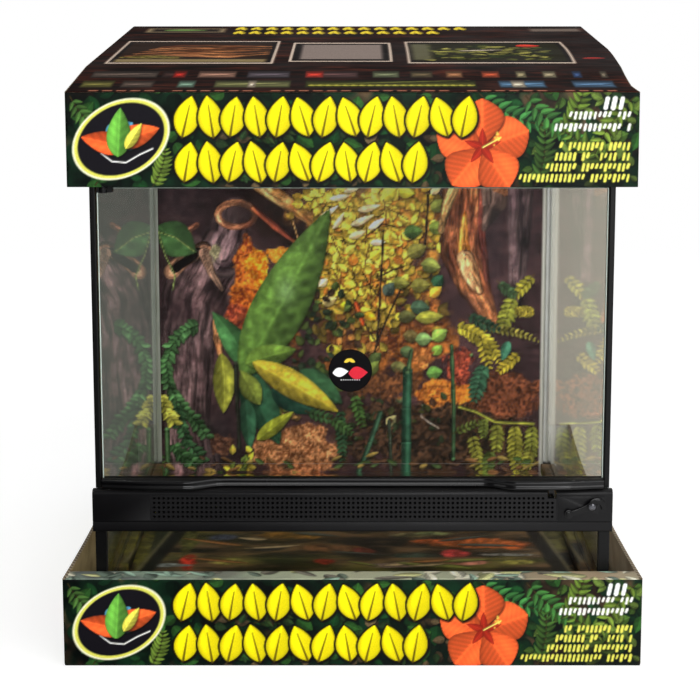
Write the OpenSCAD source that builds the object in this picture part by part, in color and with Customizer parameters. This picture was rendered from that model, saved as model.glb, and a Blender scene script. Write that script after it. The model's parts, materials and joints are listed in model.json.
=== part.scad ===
// Front-opening glass terrarium in its display cartons.
// The origin is the centre of the tray's underside, the front faces -Y and +Z is up.

/* [Glass tank] */
// Width over the side panes' trims
tank_w = 457; // [445:1:460]
// Depth from the door's face to the rear pane's face
tank_d = 457; // [445:1:460]
// Height from the base frame's underside to the top frame's rim
tank_h = 466; // [464:1:470]
// Thickness of every pane
glass_t = 4; // [3:0.5:4]
// Height of the base frame
base_h = 31; // [28:1:36]
// Height of the top frame
top_h = 52; // [50:1:56]

/* [Vent panel and latch] */
// Height of the vent panel's lower edge over the ground
vent_z = 119; // [112:1:122]
// Height of the vent panel
vent_h = 38; // [36:1:40]
// How far the vent panel stands in front of the door
vent_out = 8.5; // [7:0.5:9]
// Distance between two holes of the grille
grille_pitch = 4.2; // [4:0.1:4.2]
// Diameter of a grille hole
grille_hole = 2.5; // [2:0.1:2.8]
// Columns of holes
grille_cols = 85; // [60:1:85]
// Rows of holes
grille_rows = 5; // [3:1:5]
// Distance of the latch pivot from the tank's middle
latch_x = 211.7; // [208:0.1:213]

/* [Door] */
// Gap between the door and what it closes against
door_gap = 1; // [0.6:0.1:1.5]
// Height of the bottom rail
rail_h = 8.5; // [8:0.5:10]
// How far the rail bows forward near its ends
rail_bow = 10; // [4:1:10]
// Diameter of the hinge pins
pin_d = 3; // [2.5:0.5:3]

/* [Screen lid] */
// Width of the lid frame's band
lid_band = 24; // [20:1:28]
// Depth of the fixed deck behind the lid
deck_d = 35; // [34:1:40]
// Wires of the screen along X
screen_cols = 16; // [8:1:17]
// Wires of the screen along Y
screen_rows = 14; // [8:1:16]

/* [Cartons] */
// Thickness of the board
board_t = 3; // [2:0.5:4]
// Width of the tray
tray_w = 513; // [500:1:520]
// Depth of the tray
tray_d = 505; // [500:1:510]
// Height of the tray
tray_h = 81; // [70:1:84]
// Width of the cap
cap_w = 491; // [487:1:496]
// Depth of the cap
cap_d = 485; // [484:1:492]
// Height of the cap's lower edge over the ground
cap_z = 429; // [426:1:430]
// Height of the cap's front wall
cap_h = 82; // [80:1:90]
// Rise of the top panel from the front edge to the crease
crease_rise = 13; // [6:1:16]
// Rise of the top panel from the front edge to the back edge
cap_rise = 32; // [18:1:36]

/* [Hidden] */

// Half sizes of the tank and the heights of its levels
hw = tank_w / 2;
hd = tank_d / 2;
base_z = 14;
pad_z = base_z - 0.3;
web_z = base_z + 12;
floor_z = web_z + 4;
rim_z = base_z + tank_h;
seat_z = rim_z - 14;
skirt_z = rim_z - top_h;
pane_top = seat_z;
lip_top = base_z + base_h - 3;
panel_top = vent_z + vent_h;

// The panes stand 1 mm inside the trims, and the frames reach 2 mm past them
pane_o = -1;
pane_i = pane_o - glass_t;
frame_o = 2;
frame_t = 2.5;
slot_o = frame_o - frame_t;
slot_i = pane_i - 0.3;
lip_i = slot_i - 2.2;

// Door: glass flush with the trims, its hinge axis a little in front of the glass
door_y0 = -hd;
door_y1 = -hd + glass_t;
door_x0 = -hw + 6.7;
door_x1 = hw - 6.2;
rail_z = panel_top + door_gap;
glass_z = rail_z + 3.6;
door_top = cap_z - 1.5;
axis_x = -hw + 12.7;
axis_y = -hd - 2.7;
pin_r = pin_d / 2;
bore_r = pin_r + 0.05;
seat_r = pin_r + 0.02;

// Vent panel: outer face, wall and the grille's field
face_y = -hd - vent_out;
wall = 3;
skin = 2.5;
field_w = (grille_cols - 1) * grille_pitch + grille_hole;
field_h = (grille_rows - 1) * grille_pitch + grille_hole;
field_x = 0.7;
field_z = vent_z + 22.5;
notch_x0 = 172.8;
notch_x1 = 180.6;
notch_z = vent_z + 30.8;
latch_z = vent_z + 24.4;
shaft_r = 3;

// Lid: the opening that it closes and the deck behind it
lid_in = -7.7;
lid_back = hd - 7.5 - deck_d;
lid_z = seat_z + 2.8;
screen_z = lid_z + 7.5;
lid_top = rim_z + 1.5;
lock_x = 120;
slot_x = 157;
slot_y = (lid_back + hd - 7.5) / 2;
gate_w = 46;
gate_d = 21;

// Cap: outer half sizes and the level of its top panel, which bends at the crease
chw = cap_w / 2;
chd = cap_d / 2;
crease_y = -chd + 122;
function cap_top(y) = cap_z + cap_h + (y < crease_y
    ? crease_rise * (y + chd) / (crease_y + chd)
    : crease_rise + (cap_rise - crease_rise) * (y - crease_y) / (chd - crease_y));

// A flat ring whose outer edge lies o outside the tank's nominal size and whose inner edge lies at i
module tank_ring(o, i, z0, z1) {
    translate([0, 0, z0]) linear_extrude(z1 - z0) difference() {
        square([tank_w + 2 * o, tank_d + 2 * o], center = true);
        square([tank_w + 2 * i, tank_d + 2 * i], center = true);
    }
}

// The same ring with rounded outer corners
module tank_ring_round(o, i, z0, z1, r) {
    w = tank_w + 2 * o;
    d = tank_d + 2 * o;
    translate([0, 0, z0]) linear_extrude(z1 - z0) difference() {
        union() {
            square([w - 2 * r, d], center = true);
            square([w, d - 2 * r], center = true);
            for (x = [-1, 1], y = [-1, 1])
                translate([x * (w / 2 - r), y * (d / 2 - r)]) circle(r, $fn = 32);
        }
        square([tank_w + 2 * i, tank_d + 2 * i], center = true);
    }
}

// A box from corner a to corner b
module block(a, b) {
    translate(a) cube(b - a);
}

// A profile drawn with Y as its first and Z as its second axis, drawn out along X
module along_x(x0, x1) {
    translate([x0, 0, 0]) rotate([90, 0, 90]) linear_extrude(x1 - x0) children();
}

// A ring of a rectangle x0..x1, y0..y1 with a band of the given width
module band_ring(x0, x1, y0, y1, band, z0, z1) {
    difference() {
        block([x0, y0, z0], [x1, y1, z1]);
        block([x0 + band, y0 + band, z0 - 1], [x1 - band, y1 - band, z1 + 1]);
    }
}

// Closed skin through rings of points that all have the same count
module skin_rings(rings) {
    n = len(rings[0]);
    m = len(rings);
    points = [for (ring = rings, p = ring) p];
    sides = [for (k = [0:m - 2], j = [0:n - 1])
        let (a = k * n + j, b = k * n + (j + 1) % n)
        [a, b, b + n, a + n]];
    ends = [[for (j = [n - 1:-1:0]) j], [for (j = [0:n - 1]) (m - 1) * n + j]];
    polyhedron(points = points, faces = concat(sides, ends), convexity = 6);
}

// Tray: floor, four walls and a front rim that is folded over and hangs inside the wall
module bottom_tray() {
    hem_y = -hd - frame_o - 0.5;
    color("#2c3a1c") {
        difference() {
            block([-tray_w / 2, -tray_d / 2, 0], [tray_w / 2, tray_d / 2, tray_h]);
            block([-tray_w / 2 + board_t, -tray_d / 2 + board_t, board_t],
                [tray_w / 2 - board_t, tray_d / 2 - board_t, tray_h + 1]);
        }
        block([-tray_w / 2 + board_t / 2, -tray_d / 2 + board_t / 2, tray_h - board_t],
            [tray_w / 2 - board_t / 2, hem_y, tray_h]);
        block([-tray_w / 2 + board_t + 1, hem_y - board_t, tray_h - 50],
            [tray_w / 2 - board_t - 1, hem_y, tray_h - board_t / 2]);
    }
}

// Foam sheet that the tank stands on, with its corners cut off
module bottom_pad() {
    half = hw - 4;
    cut = 24;
    color("#e8e6df") translate([0, 0, board_t]) linear_extrude(pad_z - board_t) polygon([
        [-half + cut, -half], [half - cut, -half], [half, -half + cut], [half, half - cut],
        [half - cut, half], [-half + cut, half], [-half, half - cut], [-half, -half + cut]]);
}

// Base ring: outer wall, floor web, lip inside the panes, foot wall and ribs under the web
module base_frame() {
    foot = -29.5;
    ribs = 7;
    color("#17171a") {
        tank_ring_round(frame_o, slot_o, base_z, base_z + base_h, 3);
        tank_ring(slot_o + 1, foot, web_z, floor_z);
        tank_ring(slot_i, lip_i, floor_z - 1, lip_top);
        tank_ring(foot + 3, foot, base_z, web_z + 1);
        for (k = [-(ribs - 1) / 2:(ribs - 1) / 2], turn = [0:90:270])
            rotate([0, 0, turn]) translate([k * 56, 0, 0])
                block([-1, -hd - slot_o - 1, base_z + 2], [1, -hd - foot - 1, web_z + 1]);
    }
}

// Floor pane on the web, inside the lip
module floor_glass() {
    color("#bcd8d0", 0.35)
        block([-hw - lip_i + 0.3, -hd - lip_i + 0.3, floor_z], [hw + lip_i - 0.3, hd + lip_i - 0.3, floor_z + 4]);
}

// Printed card that lies on the floor pane, its side and rear edges turned up in front of the lip
module floor_card() {
    half = hw + lip_i - 5;
    thick = 0.5;
    z0 = floor_z + 4;
    z1 = lip_top + 3;
    color("#5a4a26") {
        block([-half, -half, z0], [half, half, z0 + thick]);
        block([-half, half - thick, z0], [half, half, z1]);
        for (x = [-half, half - thick]) block([x, -half, z0], [x + thick, half, z1]);
    }
}

// Side pane with ground front edge; side is -1 for the left and 1 for the right
module side_glass(side) {
    x = side * (hw + pane_o - glass_t / 2);
    color("#bcd8d0", 0.35)
        block([x - glass_t / 2, -hd + 4.5, floor_z], [x + glass_t / 2, hd + pane_o, pane_top]);
}
module left_glass() { side_glass(-1); }
module right_glass() { side_glass(1); }

// Rear pane between the side panes
module rear_glass() {
    color("#bcd8d0", 0.35)
        block([-hw - pane_i, hd + pane_i, floor_z], [hw + pane_i, hd + pane_o, pane_top]);
}

// Low front pane that ends in the vent panel's channel
module lower_front_glass() {
    color("#bcd8d0", 0.35)
        block([-hw - pane_i, -hd - pane_o, floor_z], [hw + pane_i, -hd - pane_i, vent_z + 7]);
}

// Beads of silicone in the tank's inner corners
module silicone_beads() {
    leg = 4.5;
    small = 4;
    x = hw + pane_i;
    lip = hw + lip_i;
    lip_y = hd + lip_i;
    color("#d9dad2") {
        for (side = [-1, 1]) {
            translate([0, 0, lip_top]) linear_extrude(seat_z - 14 - lip_top) polygon([
                [side * x, x], [side * (x - leg), x], [side * (x - leg * 0.4), x - leg * 0.4],
                [side * x, x - leg]]);
            translate([0, 0, lip_top]) linear_extrude(vent_z - 0.3 - lip_top) polygon([
                [side * x, -x], [side * (x - small), -x], [side * x, small - x]]);
        }
        along_x(-lip, lip) polygon([[-lip_y, floor_z + 4], [small - lip_y, floor_z + 4], [-lip_y, floor_z + 8]]);
        along_x(-lip, lip) polygon([[lip_y, floor_z + 4], [lip_y, floor_z + 8], [lip_y - small, floor_z + 4]]);
        for (side = [-1, 1])
            rotate([90, 0, 0]) translate([0, 0, -lip_y]) linear_extrude(2 * lip_y) polygon([
                [side * lip, floor_z + 4], [side * (lip - small), floor_z + 4], [side * lip, floor_z + 8]]);
    }
}

// Edge trim that caps a side pane's front edge beside the door
module post(side) {
    outer = hw;
    inner = hw - 5.6;
    color("#101012") difference() {
        translate([0, 0, panel_top]) linear_extrude(skirt_z - panel_top) union() {
            translate([side * (outer + inner) / 2, -hd + 8]) square([outer - inner, 13], center = true);
            translate([side * (outer + inner) / 2, -hd + 1.5]) square([outer - inner - 3, 3], center = true);
            for (x = [inner + 1.5, outer - 1.5]) translate([side * x, -hd + 1.5]) circle(1.5, $fn = 24);
        }
        block([side * (hw + (pane_o + pane_i) / 2) - glass_t / 2, -hd + 4.5, panel_top - 1],
            [side * (hw + (pane_o + pane_i) / 2) + glass_t / 2, -hd + 16, skirt_z + 1]);
    }
}
module left_post() { post(-1); }
module right_post() { post(1); }

// Corner trim outside the low front pane and the side pane
module lower_trim(side) {
    z0 = base_z + base_h;
    color("#101012") translate([0, 0, z0]) linear_extrude(vent_z - z0) union() {
        translate([side * (hw - 4), -hd]) square([9, 2], center = true);
        translate([side * hw, -hd + 5.5]) square([2, 12], center = true);
        translate([side * hw, -hd]) circle(1, $fn = 24);
    }
}
module lower_left_trim() { lower_trim(-1); }
module lower_right_trim() { lower_trim(1); }

// Profile of the vent panel: rounded front, hollow to the back, channel over the low pane
module vent_profile() {
    back = -hd + 11.5;
    ch0 = -hd - 1.3;
    ch1 = -hd + 7.3;
    difference() {
        union() {
            difference() {
                translate([face_y, vent_z]) square([back - face_y, vent_h]);
                translate([face_y + wall, vent_z + skin]) square([back - face_y, vent_h - 2 * skin]);
            }
            translate([ch0, vent_z]) square([ch1 - ch0, 9]);
        }
        // Round top edge of the front face
        translate([face_y, panel_top - 4]) difference() {
            translate([-1, 0]) square([5, 5]);
            translate([4, 0]) circle(4, $fn = 48);
            translate([4, -1]) square([2, 6]);
        }
        // Round lower edge of the front face
        translate([face_y, vent_z]) difference() {
            translate([-1, -1]) square([3, 3]);
            translate([2, 2]) circle(2, $fn = 32);
        }
        // Parting groove under the grille
        translate([face_y - 0.2, vent_z + 9]) square([1, 0.9]);
        // Channel that holds the low pane
        translate([-hd + 0.8, vent_z - 1]) square([glass_t + 0.4, 8.2]);
    }
}

// Hollow front moulding with the grille's window, the latch pad and the catch's notch
module vent_panel() {
    x1 = hw + frame_o;
    pad_x = field_x + field_w / 2 + 3.6;
    ends = hw - 6;
    color("#17171a") difference() {
        union() {
            along_x(-x1, x1) vent_profile();
            // End walls
            for (side = [-1, 1])
                translate([side * (x1 - 1.5), (face_y - hd) / 2 + 1.5, vent_z + vent_h / 2])
                    cube([3, vent_out - 1.5, vent_h - 8], center = true);
            // Raised pad round the latch
            block([pad_x, face_y - 0.6, vent_z + 10.6], [x1 - 6, face_y + 1, panel_top - 5]);
            // Bosses of the latch shaft and the lower hinge pin
            translate([latch_x, face_y + wall, latch_z]) rotate([90, 0, 0])
                cylinder(h = wall - 0.5, r = 6, $fn = 48);
            translate([axis_x, axis_y, panel_top - skin - 1]) cylinder(h = 2, r = 4.2, $fn = 48);
            // Stop behind the door's rail
            block([-hw + 28, -hd + 6.4, panel_top - 1], [hw - 8, -hd + 8.4, panel_top + 6]);
            // Stiffening ribs in the hollow, under the grille's field
            for (x = [-200:50:150])
                block([x, face_y + 1, vent_z + 1], [x + 1.6, -hd - 1, field_z - field_h / 2 - 2.4]);
        }
        // Rebate and window of the grille
        block([field_x - field_w / 2 - 2.5, face_y - 1, field_z - field_h / 2 - 1.8],
            [field_x + field_w / 2 + 2.5, face_y + 1.6, field_z + field_h / 2 + 1.8]);
        block([field_x - field_w / 2 - 0.8, face_y - 1, field_z - field_h / 2 - 0.6],
            [field_x + field_w / 2 + 0.8, face_y + wall + 4, field_z + field_h / 2 + 0.6]);
        // Notch for the door's catch
        block([notch_x0, face_y - 1, notch_z], [notch_x1, -hd + 5.9, panel_top + 1]);
        // Bores of the latch shaft and of the hinge pin
        translate([latch_x, face_y + wall + 1, latch_z]) rotate([90, 0, 0])
            cylinder(h = wall + 4, r = shaft_r + 0.05, $fn = 48);
        translate([axis_x, axis_y, panel_top - 5]) cylinder(h = 8, r = seat_r, $fn = 32);
        // Room for the side panes and their trims behind both ends
        for (side = [-1, 1])
            translate([side * (ends + 10), -hd + 10, vent_z + vent_h / 2])
                cube([20, 20.2, vent_h + 20], center = true);
    }
}

// Perforated strip: one plate with all its holes
module vent_grille() {
    x0 = field_x - (grille_cols - 1) * grille_pitch / 2;
    z0 = field_z - (grille_rows - 1) * grille_pitch / 2;
    color("#1b1b1f") difference() {
        block([field_x - field_w / 2 - 2.4, face_y + 0.1, field_z - field_h / 2 - 1.7],
            [field_x + field_w / 2 + 2.4, face_y + 1.6, field_z + field_h / 2 + 1.7]);
        for (i = [0:grille_cols - 1], j = [0:grille_rows - 1])
            if (x0 + i * grille_pitch < notch_x0 - grille_hole || j < grille_rows - 1)
                translate([x0 + i * grille_pitch, face_y + 3, z0 + j * grille_pitch]) rotate([90, 0, 0])
                    cylinder(h = 5, r = grille_hole / 2, $fn = 16);
        block([notch_x0, face_y - 1, notch_z], [notch_x1, face_y + 3, panel_top]);
    }
}

// Top ring: skirt over the panes, seat for the lid, rear deck with cable slots and slide guides
module top_frame() {
    deck_x = hw + lid_in + 0.5;
    deck_y = lid_back + 0.5;
    color("#17171a") difference() {
        union() {
            tank_ring_round(frame_o, slot_o, skirt_z, rim_z, 3);
            tank_ring(slot_o + 1, lid_in + 0.5, seat_z, rim_z);
            tank_ring(lid_in + 1, lid_in - 12, seat_z, seat_z + 2.5);
            // Lip inside the side and rear panes
            difference() {
                tank_ring(slot_i, lip_i, seat_z - 14, seat_z + 1);
                block([-hw, -hd - 1, seat_z - 15], [hw, -hd + 30, seat_z]);
            }
            // Front skirt's lower flange and its ribs
            block([-hw + 5.5, -hd, skirt_z], [hw - 5.5, -hd + 5, skirt_z + 2.5]);
            for (x = [-180:60:180])
                block([x - 1, -hd, skirt_z + 1], [x + 1, -hd + 4.5, seat_z + 1]);
            // Rear deck
            block([-deck_x, deck_y, rim_z - 4], [deck_x, hd - 1, rim_z]);
            for (x = [-200, -110, 0, 110, 200])
                block([x - 1, deck_y, seat_z + 2], [x + 1, hd - 7, rim_z - 3]);
            block([-deck_x, deck_y, seat_z - 2], [deck_x, deck_y + 2.5, rim_z]);
            // Guides of the sliding gates
            for (side = [-1, 1], edge = [-1, 1]) {
                translate([side * (slot_x - 20), slot_y + edge * (gate_d / 2 + 1.5), rim_z + 1.9])
                    cube([92, 2, 4], center = true);
                translate([side * (slot_x - 20), slot_y + edge * (gate_d / 2 + 0.65), rim_z + 3.2])
                    cube([92, 3.5, 1.4], center = true);
            }
            // Ear of the upper hinge pin
            translate([axis_x, axis_y, skirt_z + 2]) cylinder(h = 7, r = 4.6, $fn = 48);
            block([axis_x - 4.6, axis_y, skirt_z + 2], [axis_x + 4.6, -hd, skirt_z + 9]);
            // Bosses of the lid locks
            for (side = [-1, 1])
                translate([side * lock_x, -hd + 2.5, rim_z - 1]) cylinder(h = 3, r = 4.3, $fn = 48);
        }
        for (side = [-1, 1]) {
            // Cable slot through the deck
            for (end = [-1, 1])
                translate([side * slot_x + end * 11, slot_y, rim_z - 20]) cylinder(h = 30, r = 8, $fn = 48);
            block([side * slot_x - 11, slot_y - 8, rim_z - 20], [side * slot_x + 11, slot_y + 8, rim_z + 10]);
            translate([side * lock_x, -hd + 2.5, rim_z - 8]) cylinder(h = 12, r = seat_r, $fn = 32);
        }
        translate([axis_x, axis_y, skirt_z]) cylinder(h = 12, r = seat_r, $fn = 32);
        translate([axis_x, axis_y, skirt_z + 9]) cylinder(h = 3, r = 3, $fn = 32);
    }
}

// Headed steel pins: the lower one stands up through the vent panel, the upper one hangs in the ear
module hinge_pins() {
    low = panel_top - skin - 1;
    high = skirt_z + 9;
    color("#b9bbbd") {
        translate([axis_x, axis_y, low]) cylinder(h = rail_z + 6 - low, r = pin_r, $fn = 32);
        translate([axis_x, axis_y, low - 1.2]) cylinder(h = 1.2, r = pin_r + 1.1, $fn = 32);
        translate([axis_x, axis_y, door_top - 3.8]) cylinder(h = high - door_top + 3.8, r = pin_r, $fn = 32);
        translate([axis_x, axis_y, high]) cylinder(h = 1.2, r = pin_r + 1.1, $fn = 32);
    }
}

// Screws that the lid locks turn on
module lock_screws() {
    color("#b9bbbd") for (side = [-1, 1]) translate([side * lock_x, -hd + 2.5, 0]) {
        translate([0, 0, rim_z - 7]) cylinder(h = 12.6, r = pin_r, $fn = 32);
        translate([0, 0, rim_z + 5.4]) cylinder(h = 1.6, r1 = 3, r2 = 2.2, $fn = 32);
    }
}

// Printed sheet in the frames' channel behind the rear pane
module backdrop_sheet() {
    color("#4a3f22")
        block([-hw + 2, hd + pane_o, floor_z], [hw - 2, hd + pane_o + 0.45, pane_top]);
}

// Door pane
module door_glass() {
    color("#bcd8d0", 0.35) block([door_x0, door_y0, glass_z], [door_x1, door_y1, door_top - 0.9]);
}

// How far the rail's front stands out at x: straight in the middle, bowed near both ends
function smooth(t) = let (u = min(max(t, 0), 1)) u * u * (3 - 2 * u);
function bow(x) = let (a = abs(x), end = max(a - 165, 0) / (hw - 165))
    rail_bow * smooth((a - 116) / 30) * (1 - 0.55 * end * end);
function rail_front(x) = -hd - 2 - bow(x);

// Ring of points round the rail at x: flat back, rounded front with a shallow waist
function rail_ring(x) = let (y = rail_front(x), back = door_y1 + 2, z = rail_z, h = rail_h) [
    [x, back, z], [x, back, z + h - 1], [x, back - 1, z + h], [x, y + 2.2, z + h],
    [x, y + 1, z + h * 0.93], [x, y + 0.3, z + h * 0.82], [x, y + 0.35, z + h * 0.68],
    [x, y + 0.9, z + h * 0.58], [x, y + 0.9, z + h * 0.42], [x, y + 0.2, z + h * 0.32],
    [x, y, z + h * 0.16], [x, y + 0.5, z + h * 0.04], [x, y + 1.3, z]];

// Moulded bottom rail with the pane's groove and the lower hinge bore
module door_rail() {
    x0 = door_x0 - 0.3;
    x1 = door_x1 + 0.2;
    steps = 74;
    color("#17171a") difference() {
        skin_rings([for (k = [0:steps]) rail_ring(x0 + (x1 - x0) * k / steps)]);
        block([door_x0, door_y0, glass_z], [door_x1, door_y1, rail_z + rail_h + 1]);
        translate([axis_x, axis_y, rail_z - 1]) cylinder(h = 7.5, r = bore_r, $fn = 48);
    }
}

// Tongue under the rail that drops into the vent panel's notch
module door_catch() {
    x0 = notch_x0 + 1.4;
    x1 = notch_x1 - 1.4;
    color("#0e0e10") {
        block([x0, face_y + 5.8, notch_z + 0.8], [x1, -hd + 2.5, rail_z]);
        block([x0 - 0.8, face_y + 5.8, rail_z - 0.5], [x1 + 0.8, -hd + 4.5, rail_z]);
    }
}

// Clip on the pane's upper corner with the upper hinge bore
module door_top_clip() {
    z0 = door_top - 5;
    color("#17171a") difference() {
        union() {
            block([door_x0, door_y0 - 1.3, z0], [door_x0 + 14, door_y1 + 1.3, door_top]);
            translate([axis_x, axis_y, z0]) cylinder(h = 5, r = 3.4, $fn = 48);
            block([axis_x - 3.4, axis_y, z0], [axis_x + 3.4, door_y0, door_top]);
        }
        block([door_x0 - 1, door_y0, z0 - 1], [door_x0 + 20, door_y1, door_top - 0.9]);
        translate([axis_x, axis_y, z0 + 0.8]) cylinder(h = 6, r = bore_r, $fn = 48);
    }
}

// Lever in front of the latch pad: hub, finger arm to the left and claw to the right
module latch_lever() {
    y0 = face_y - 4.2;
    t = 3;
    foot = [-20.5, -8.3];
    claw = 10.4;
    color("#0c0c0e") translate([latch_x, y0 + t, latch_z]) rotate([90, 0, 0]) difference() {
        union() {
            cylinder(h = t, r = 4.6, $fn = 48);
            // Arm, bent once, and the finger pad at its end
            linear_extrude(t - 0.6) polygon([[-1, 3.4], [-9, -0.6], [-15, -3.2], [-20, -4.6],
                [-21.5, -9], [-15, -8.2], [-8, -6.2], [-1, -4.2]]);
            translate([foot[0], foot[1] + 1.4, 0]) cylinder(h = t, r = 3.9, $fn = 48);
            translate([foot[0], foot[1] + 1.4, 0]) cylinder(h = t + 0.8, r = 2.6, $fn = 48);
            // Claw: a hooked arc over the hub's right
            linear_extrude(t) intersection() {
                difference() {
                    translate([4.4, -0.2]) circle(claw - 2.2, $fn = 64);
                    translate([4.4, -1.2]) circle(claw - 6.4, $fn = 64);
                }
                polygon([[-6, 0], [-4, 12], [20, 12], [20, -2.5], [6, -2.5], [3, 0]]);
            }
        }
        translate([0, 0, -1]) cylinder(h = t + 3, r = seat_r, $fn = 32);
    }
}

// Shaft through the panel with a hooked arm that blocks the door's catch when it is raised
module latch_cam() {
    arm_y = face_y + wall + 0.4;
    arm_t = 2.2;
    tip = [(notch_x0 + notch_x1) / 2 - latch_x, -8.6];
    color("#c9c4b4") difference() {
        union() {
            translate([latch_x, arm_y + arm_t, latch_z]) rotate([90, 0, 0])
                cylinder(h = arm_y + arm_t - face_y + 1.2, r = shaft_r, $fn = 48);
            translate([latch_x, arm_y + arm_t, latch_z]) rotate([90, 0, 0])
                cylinder(h = arm_t, r = 5.2, $fn = 48);
            translate([latch_x, arm_y + arm_t, latch_z]) rotate([90, 0, 0]) linear_extrude(arm_t)
                polygon([[0, 4], [tip[0] + 4.5, tip[1] + 3], [tip[0] + 2.6, tip[1] + 7],
                    [tip[0] - 2.6, tip[1] + 7], [tip[0] - 3.4, tip[1] - 2.6], [tip[0] + 6, tip[1] - 2.6],
                    [0, -4]]);
        }
        translate([latch_x, face_y + wall, latch_z]) rotate([90, 0, 0])
            cylinder(h = 12, r = seat_r, $fn = 32);
    }
}

// Screw that holds the lever on the shaft
module latch_screw() {
    front = face_y - 4.2;
    color("#c8cacc") translate([latch_x, front, latch_z]) rotate([90, 0, 0]) difference() {
        union() {
            translate([0, 0, -7]) cylinder(h = 7, r = pin_r, $fn = 32);
            cylinder(h = 0.6, r = 3, $fn = 32);
            translate([0, 0, 0.6]) cylinder(h = 0.9, r1 = 3, r2 = 1.6, $fn = 32);
        }
        block([-3, -0.35, 0.9], [3, 0.35, 3]);
    }
}

// Lid frame with the ledge of the screen, an upstand and two ribbed finger grips
module lid_frame() {
    x = hw + lid_in;
    y0 = -hd - lid_in;
    up = 12.3;
    color("#17171a") {
        difference() {
            union() {
                band_ring(-x, x, y0, lid_back, lid_band, lid_z, screen_z);
                band_ring(-x, x, y0, lid_back, up, lid_z, lid_top);
                for (y = [y0 + up / 2, lid_back - up / 2], k = [-1:1])
                    translate([-22, y + k * 2.8 - 0.6, lid_top - 0.5]) cube([44, 1.2, 1.9]);
            }
            // Groove under the frame that saves material
            difference() {
                block([-x + 3, y0 + 3, lid_z - 1], [x - 3, lid_back - 3, lid_z + 4]);
                block([-x + lid_band - 3, y0 + lid_band - 3, lid_z - 2],
                    [x - lid_band + 3, lid_back - lid_band + 3, lid_z + 5]);
            }
        }
    }
}

// Woven screen, drawn with few wires
module lid_screen() {
    x = hw + lid_in - 12.6;
    y0 = -hd - lid_in + 12.6;
    y1 = lid_back - 12.6;
    px = 2 * x / screen_cols;
    py = (y1 - y0) / screen_rows;
    color("#2a2b2d") difference() {
        block([-x, y0, screen_z], [x, y1, screen_z + 0.8]);
        for (i = [0:screen_cols - 1], j = [0:screen_rows - 1])
            block([-x + i * px + 0.8, y0 + j * py + 0.8, screen_z - 1],
                [-x + (i + 1) * px - 0.8, y0 + (j + 1) * py - 0.8, screen_z + 2]);
    }
}

// Rubber cord that wedges the screen against the upstand
module lid_spline() {
    x = hw + lid_in - 12.6;
    y0 = -hd - lid_in + 12.6;
    y1 = lid_back - 12.6;
    color("#222224") band_ring(-x, x, y0, y1, 3.2, screen_z + 0.8, screen_z + 3.4);
}

// Turn button; side is -1 for the left and 1 for the right, and both point to the middle at rest
module lid_lock(side) {
    reach = 18;
    z0 = rim_z + 2.3;
    color("#0e0e10") translate([side * lock_x, -hd + 2.5, z0]) difference() {
        union() {
            cylinder(h = 2.8, r = 4.5, $fn = 48);
            translate([-side * reach / 2, 0, 1.4]) cube([reach, 7, 2.8], center = true);
            translate([-side * reach, 0, 0]) cylinder(h = 2.8, r = 3.5, $fn = 48);
            translate([-side * (reach - 1), 0, 2.8]) cylinder(h = 1.6, r = 2.2, $fn = 32);
        }
        translate([0, 0, -1]) cylinder(h = 6, r = bore_r, $fn = 48);
    }
}
module lid_lock_left() { lid_lock(-1); }
module lid_lock_right() { lid_lock(1); }

// Sliding gate over a cable slot, with a ribbed finger grip
module inlet_gate(side) {
    z0 = rim_z + 0.3;
    color("#0e0e10") translate([side * slot_x, slot_y, z0]) {
        translate([0, 0, 0.95]) cube([gate_w, gate_d, 1.9], center = true);
        translate([0, 0, 2.2]) cube([gate_w, gate_d - 4.6, 1.8], center = true);
        for (k = [-2:2]) translate([-side * 14 + k * 2.4, 0, 3.4]) cube([1.2, 12, 2.4], center = true);
    }
}
module inlet_gate_left() { inlet_gate(-1); }
module inlet_gate_right() { inlet_gate(1); }

// Outline of the cap seen from the side, lowered by drop and drawn in by inset
function cap_side(inset, drop, low) = [
    [-chd + inset, low], [chd - inset, low], [chd - inset, cap_top(chd - inset) - drop],
    [crease_y, cap_top(crease_y) - drop], [-chd + inset, cap_top(-chd + inset) - drop]];

// Cap: four walls and a top panel that is creased near the front and rises to the back
module top_cap() {
    color("#2a2418") difference() {
        along_x(-chw, chw) polygon(cap_side(0, 0, cap_z));
        along_x(-chw + board_t, chw - board_t) polygon(cap_side(board_t, board_t, cap_z - 1));
    }
}

// Two foam rails glued in the cap: they sit on the lid and grip the tank's sides
module cap_foam() {
    y1 = 195;
    inner = hw - 19;
    outer = chw - board_t;
    color("#e8e6df") for (side = [-1, 1]) mirror([side < 0 ? 1 : 0, 0, 0]) difference() {
        along_x(inner, outer) polygon([
            [-y1, rim_z - 40], [y1, rim_z - 40], [y1, cap_top(y1) - board_t],
            [crease_y, cap_top(crease_y) - board_t], [-y1, cap_top(-y1) - board_t]]);
        block([inner - 1, -y1 - 1, rim_z - 41], [hw + frame_o + 0.6, y1 + 1, lid_top + 0.4]);
    }
}

bottom_tray();
bottom_pad();
base_frame();
floor_glass();
floor_card();
left_glass();
right_glass();
rear_glass();
lower_front_glass();
silicone_beads();
left_post();
right_post();
lower_left_trim();
lower_right_trim();
vent_panel();
vent_grille();
top_frame();
hinge_pins();
lock_screws();
backdrop_sheet();
door_glass();
door_rail();
door_catch();
door_top_clip();
latch_lever();
latch_cam();
latch_screw();
lid_frame();
lid_screen();
lid_spline();
lid_lock_left();
lid_lock_right();
inlet_gate_left();
inlet_gate_right();
top_cap();
cap_foam();
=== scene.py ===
import json
import math
import bmesh
import bpy
import numpy as np
from mathutils import Matrix, Vector

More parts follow.
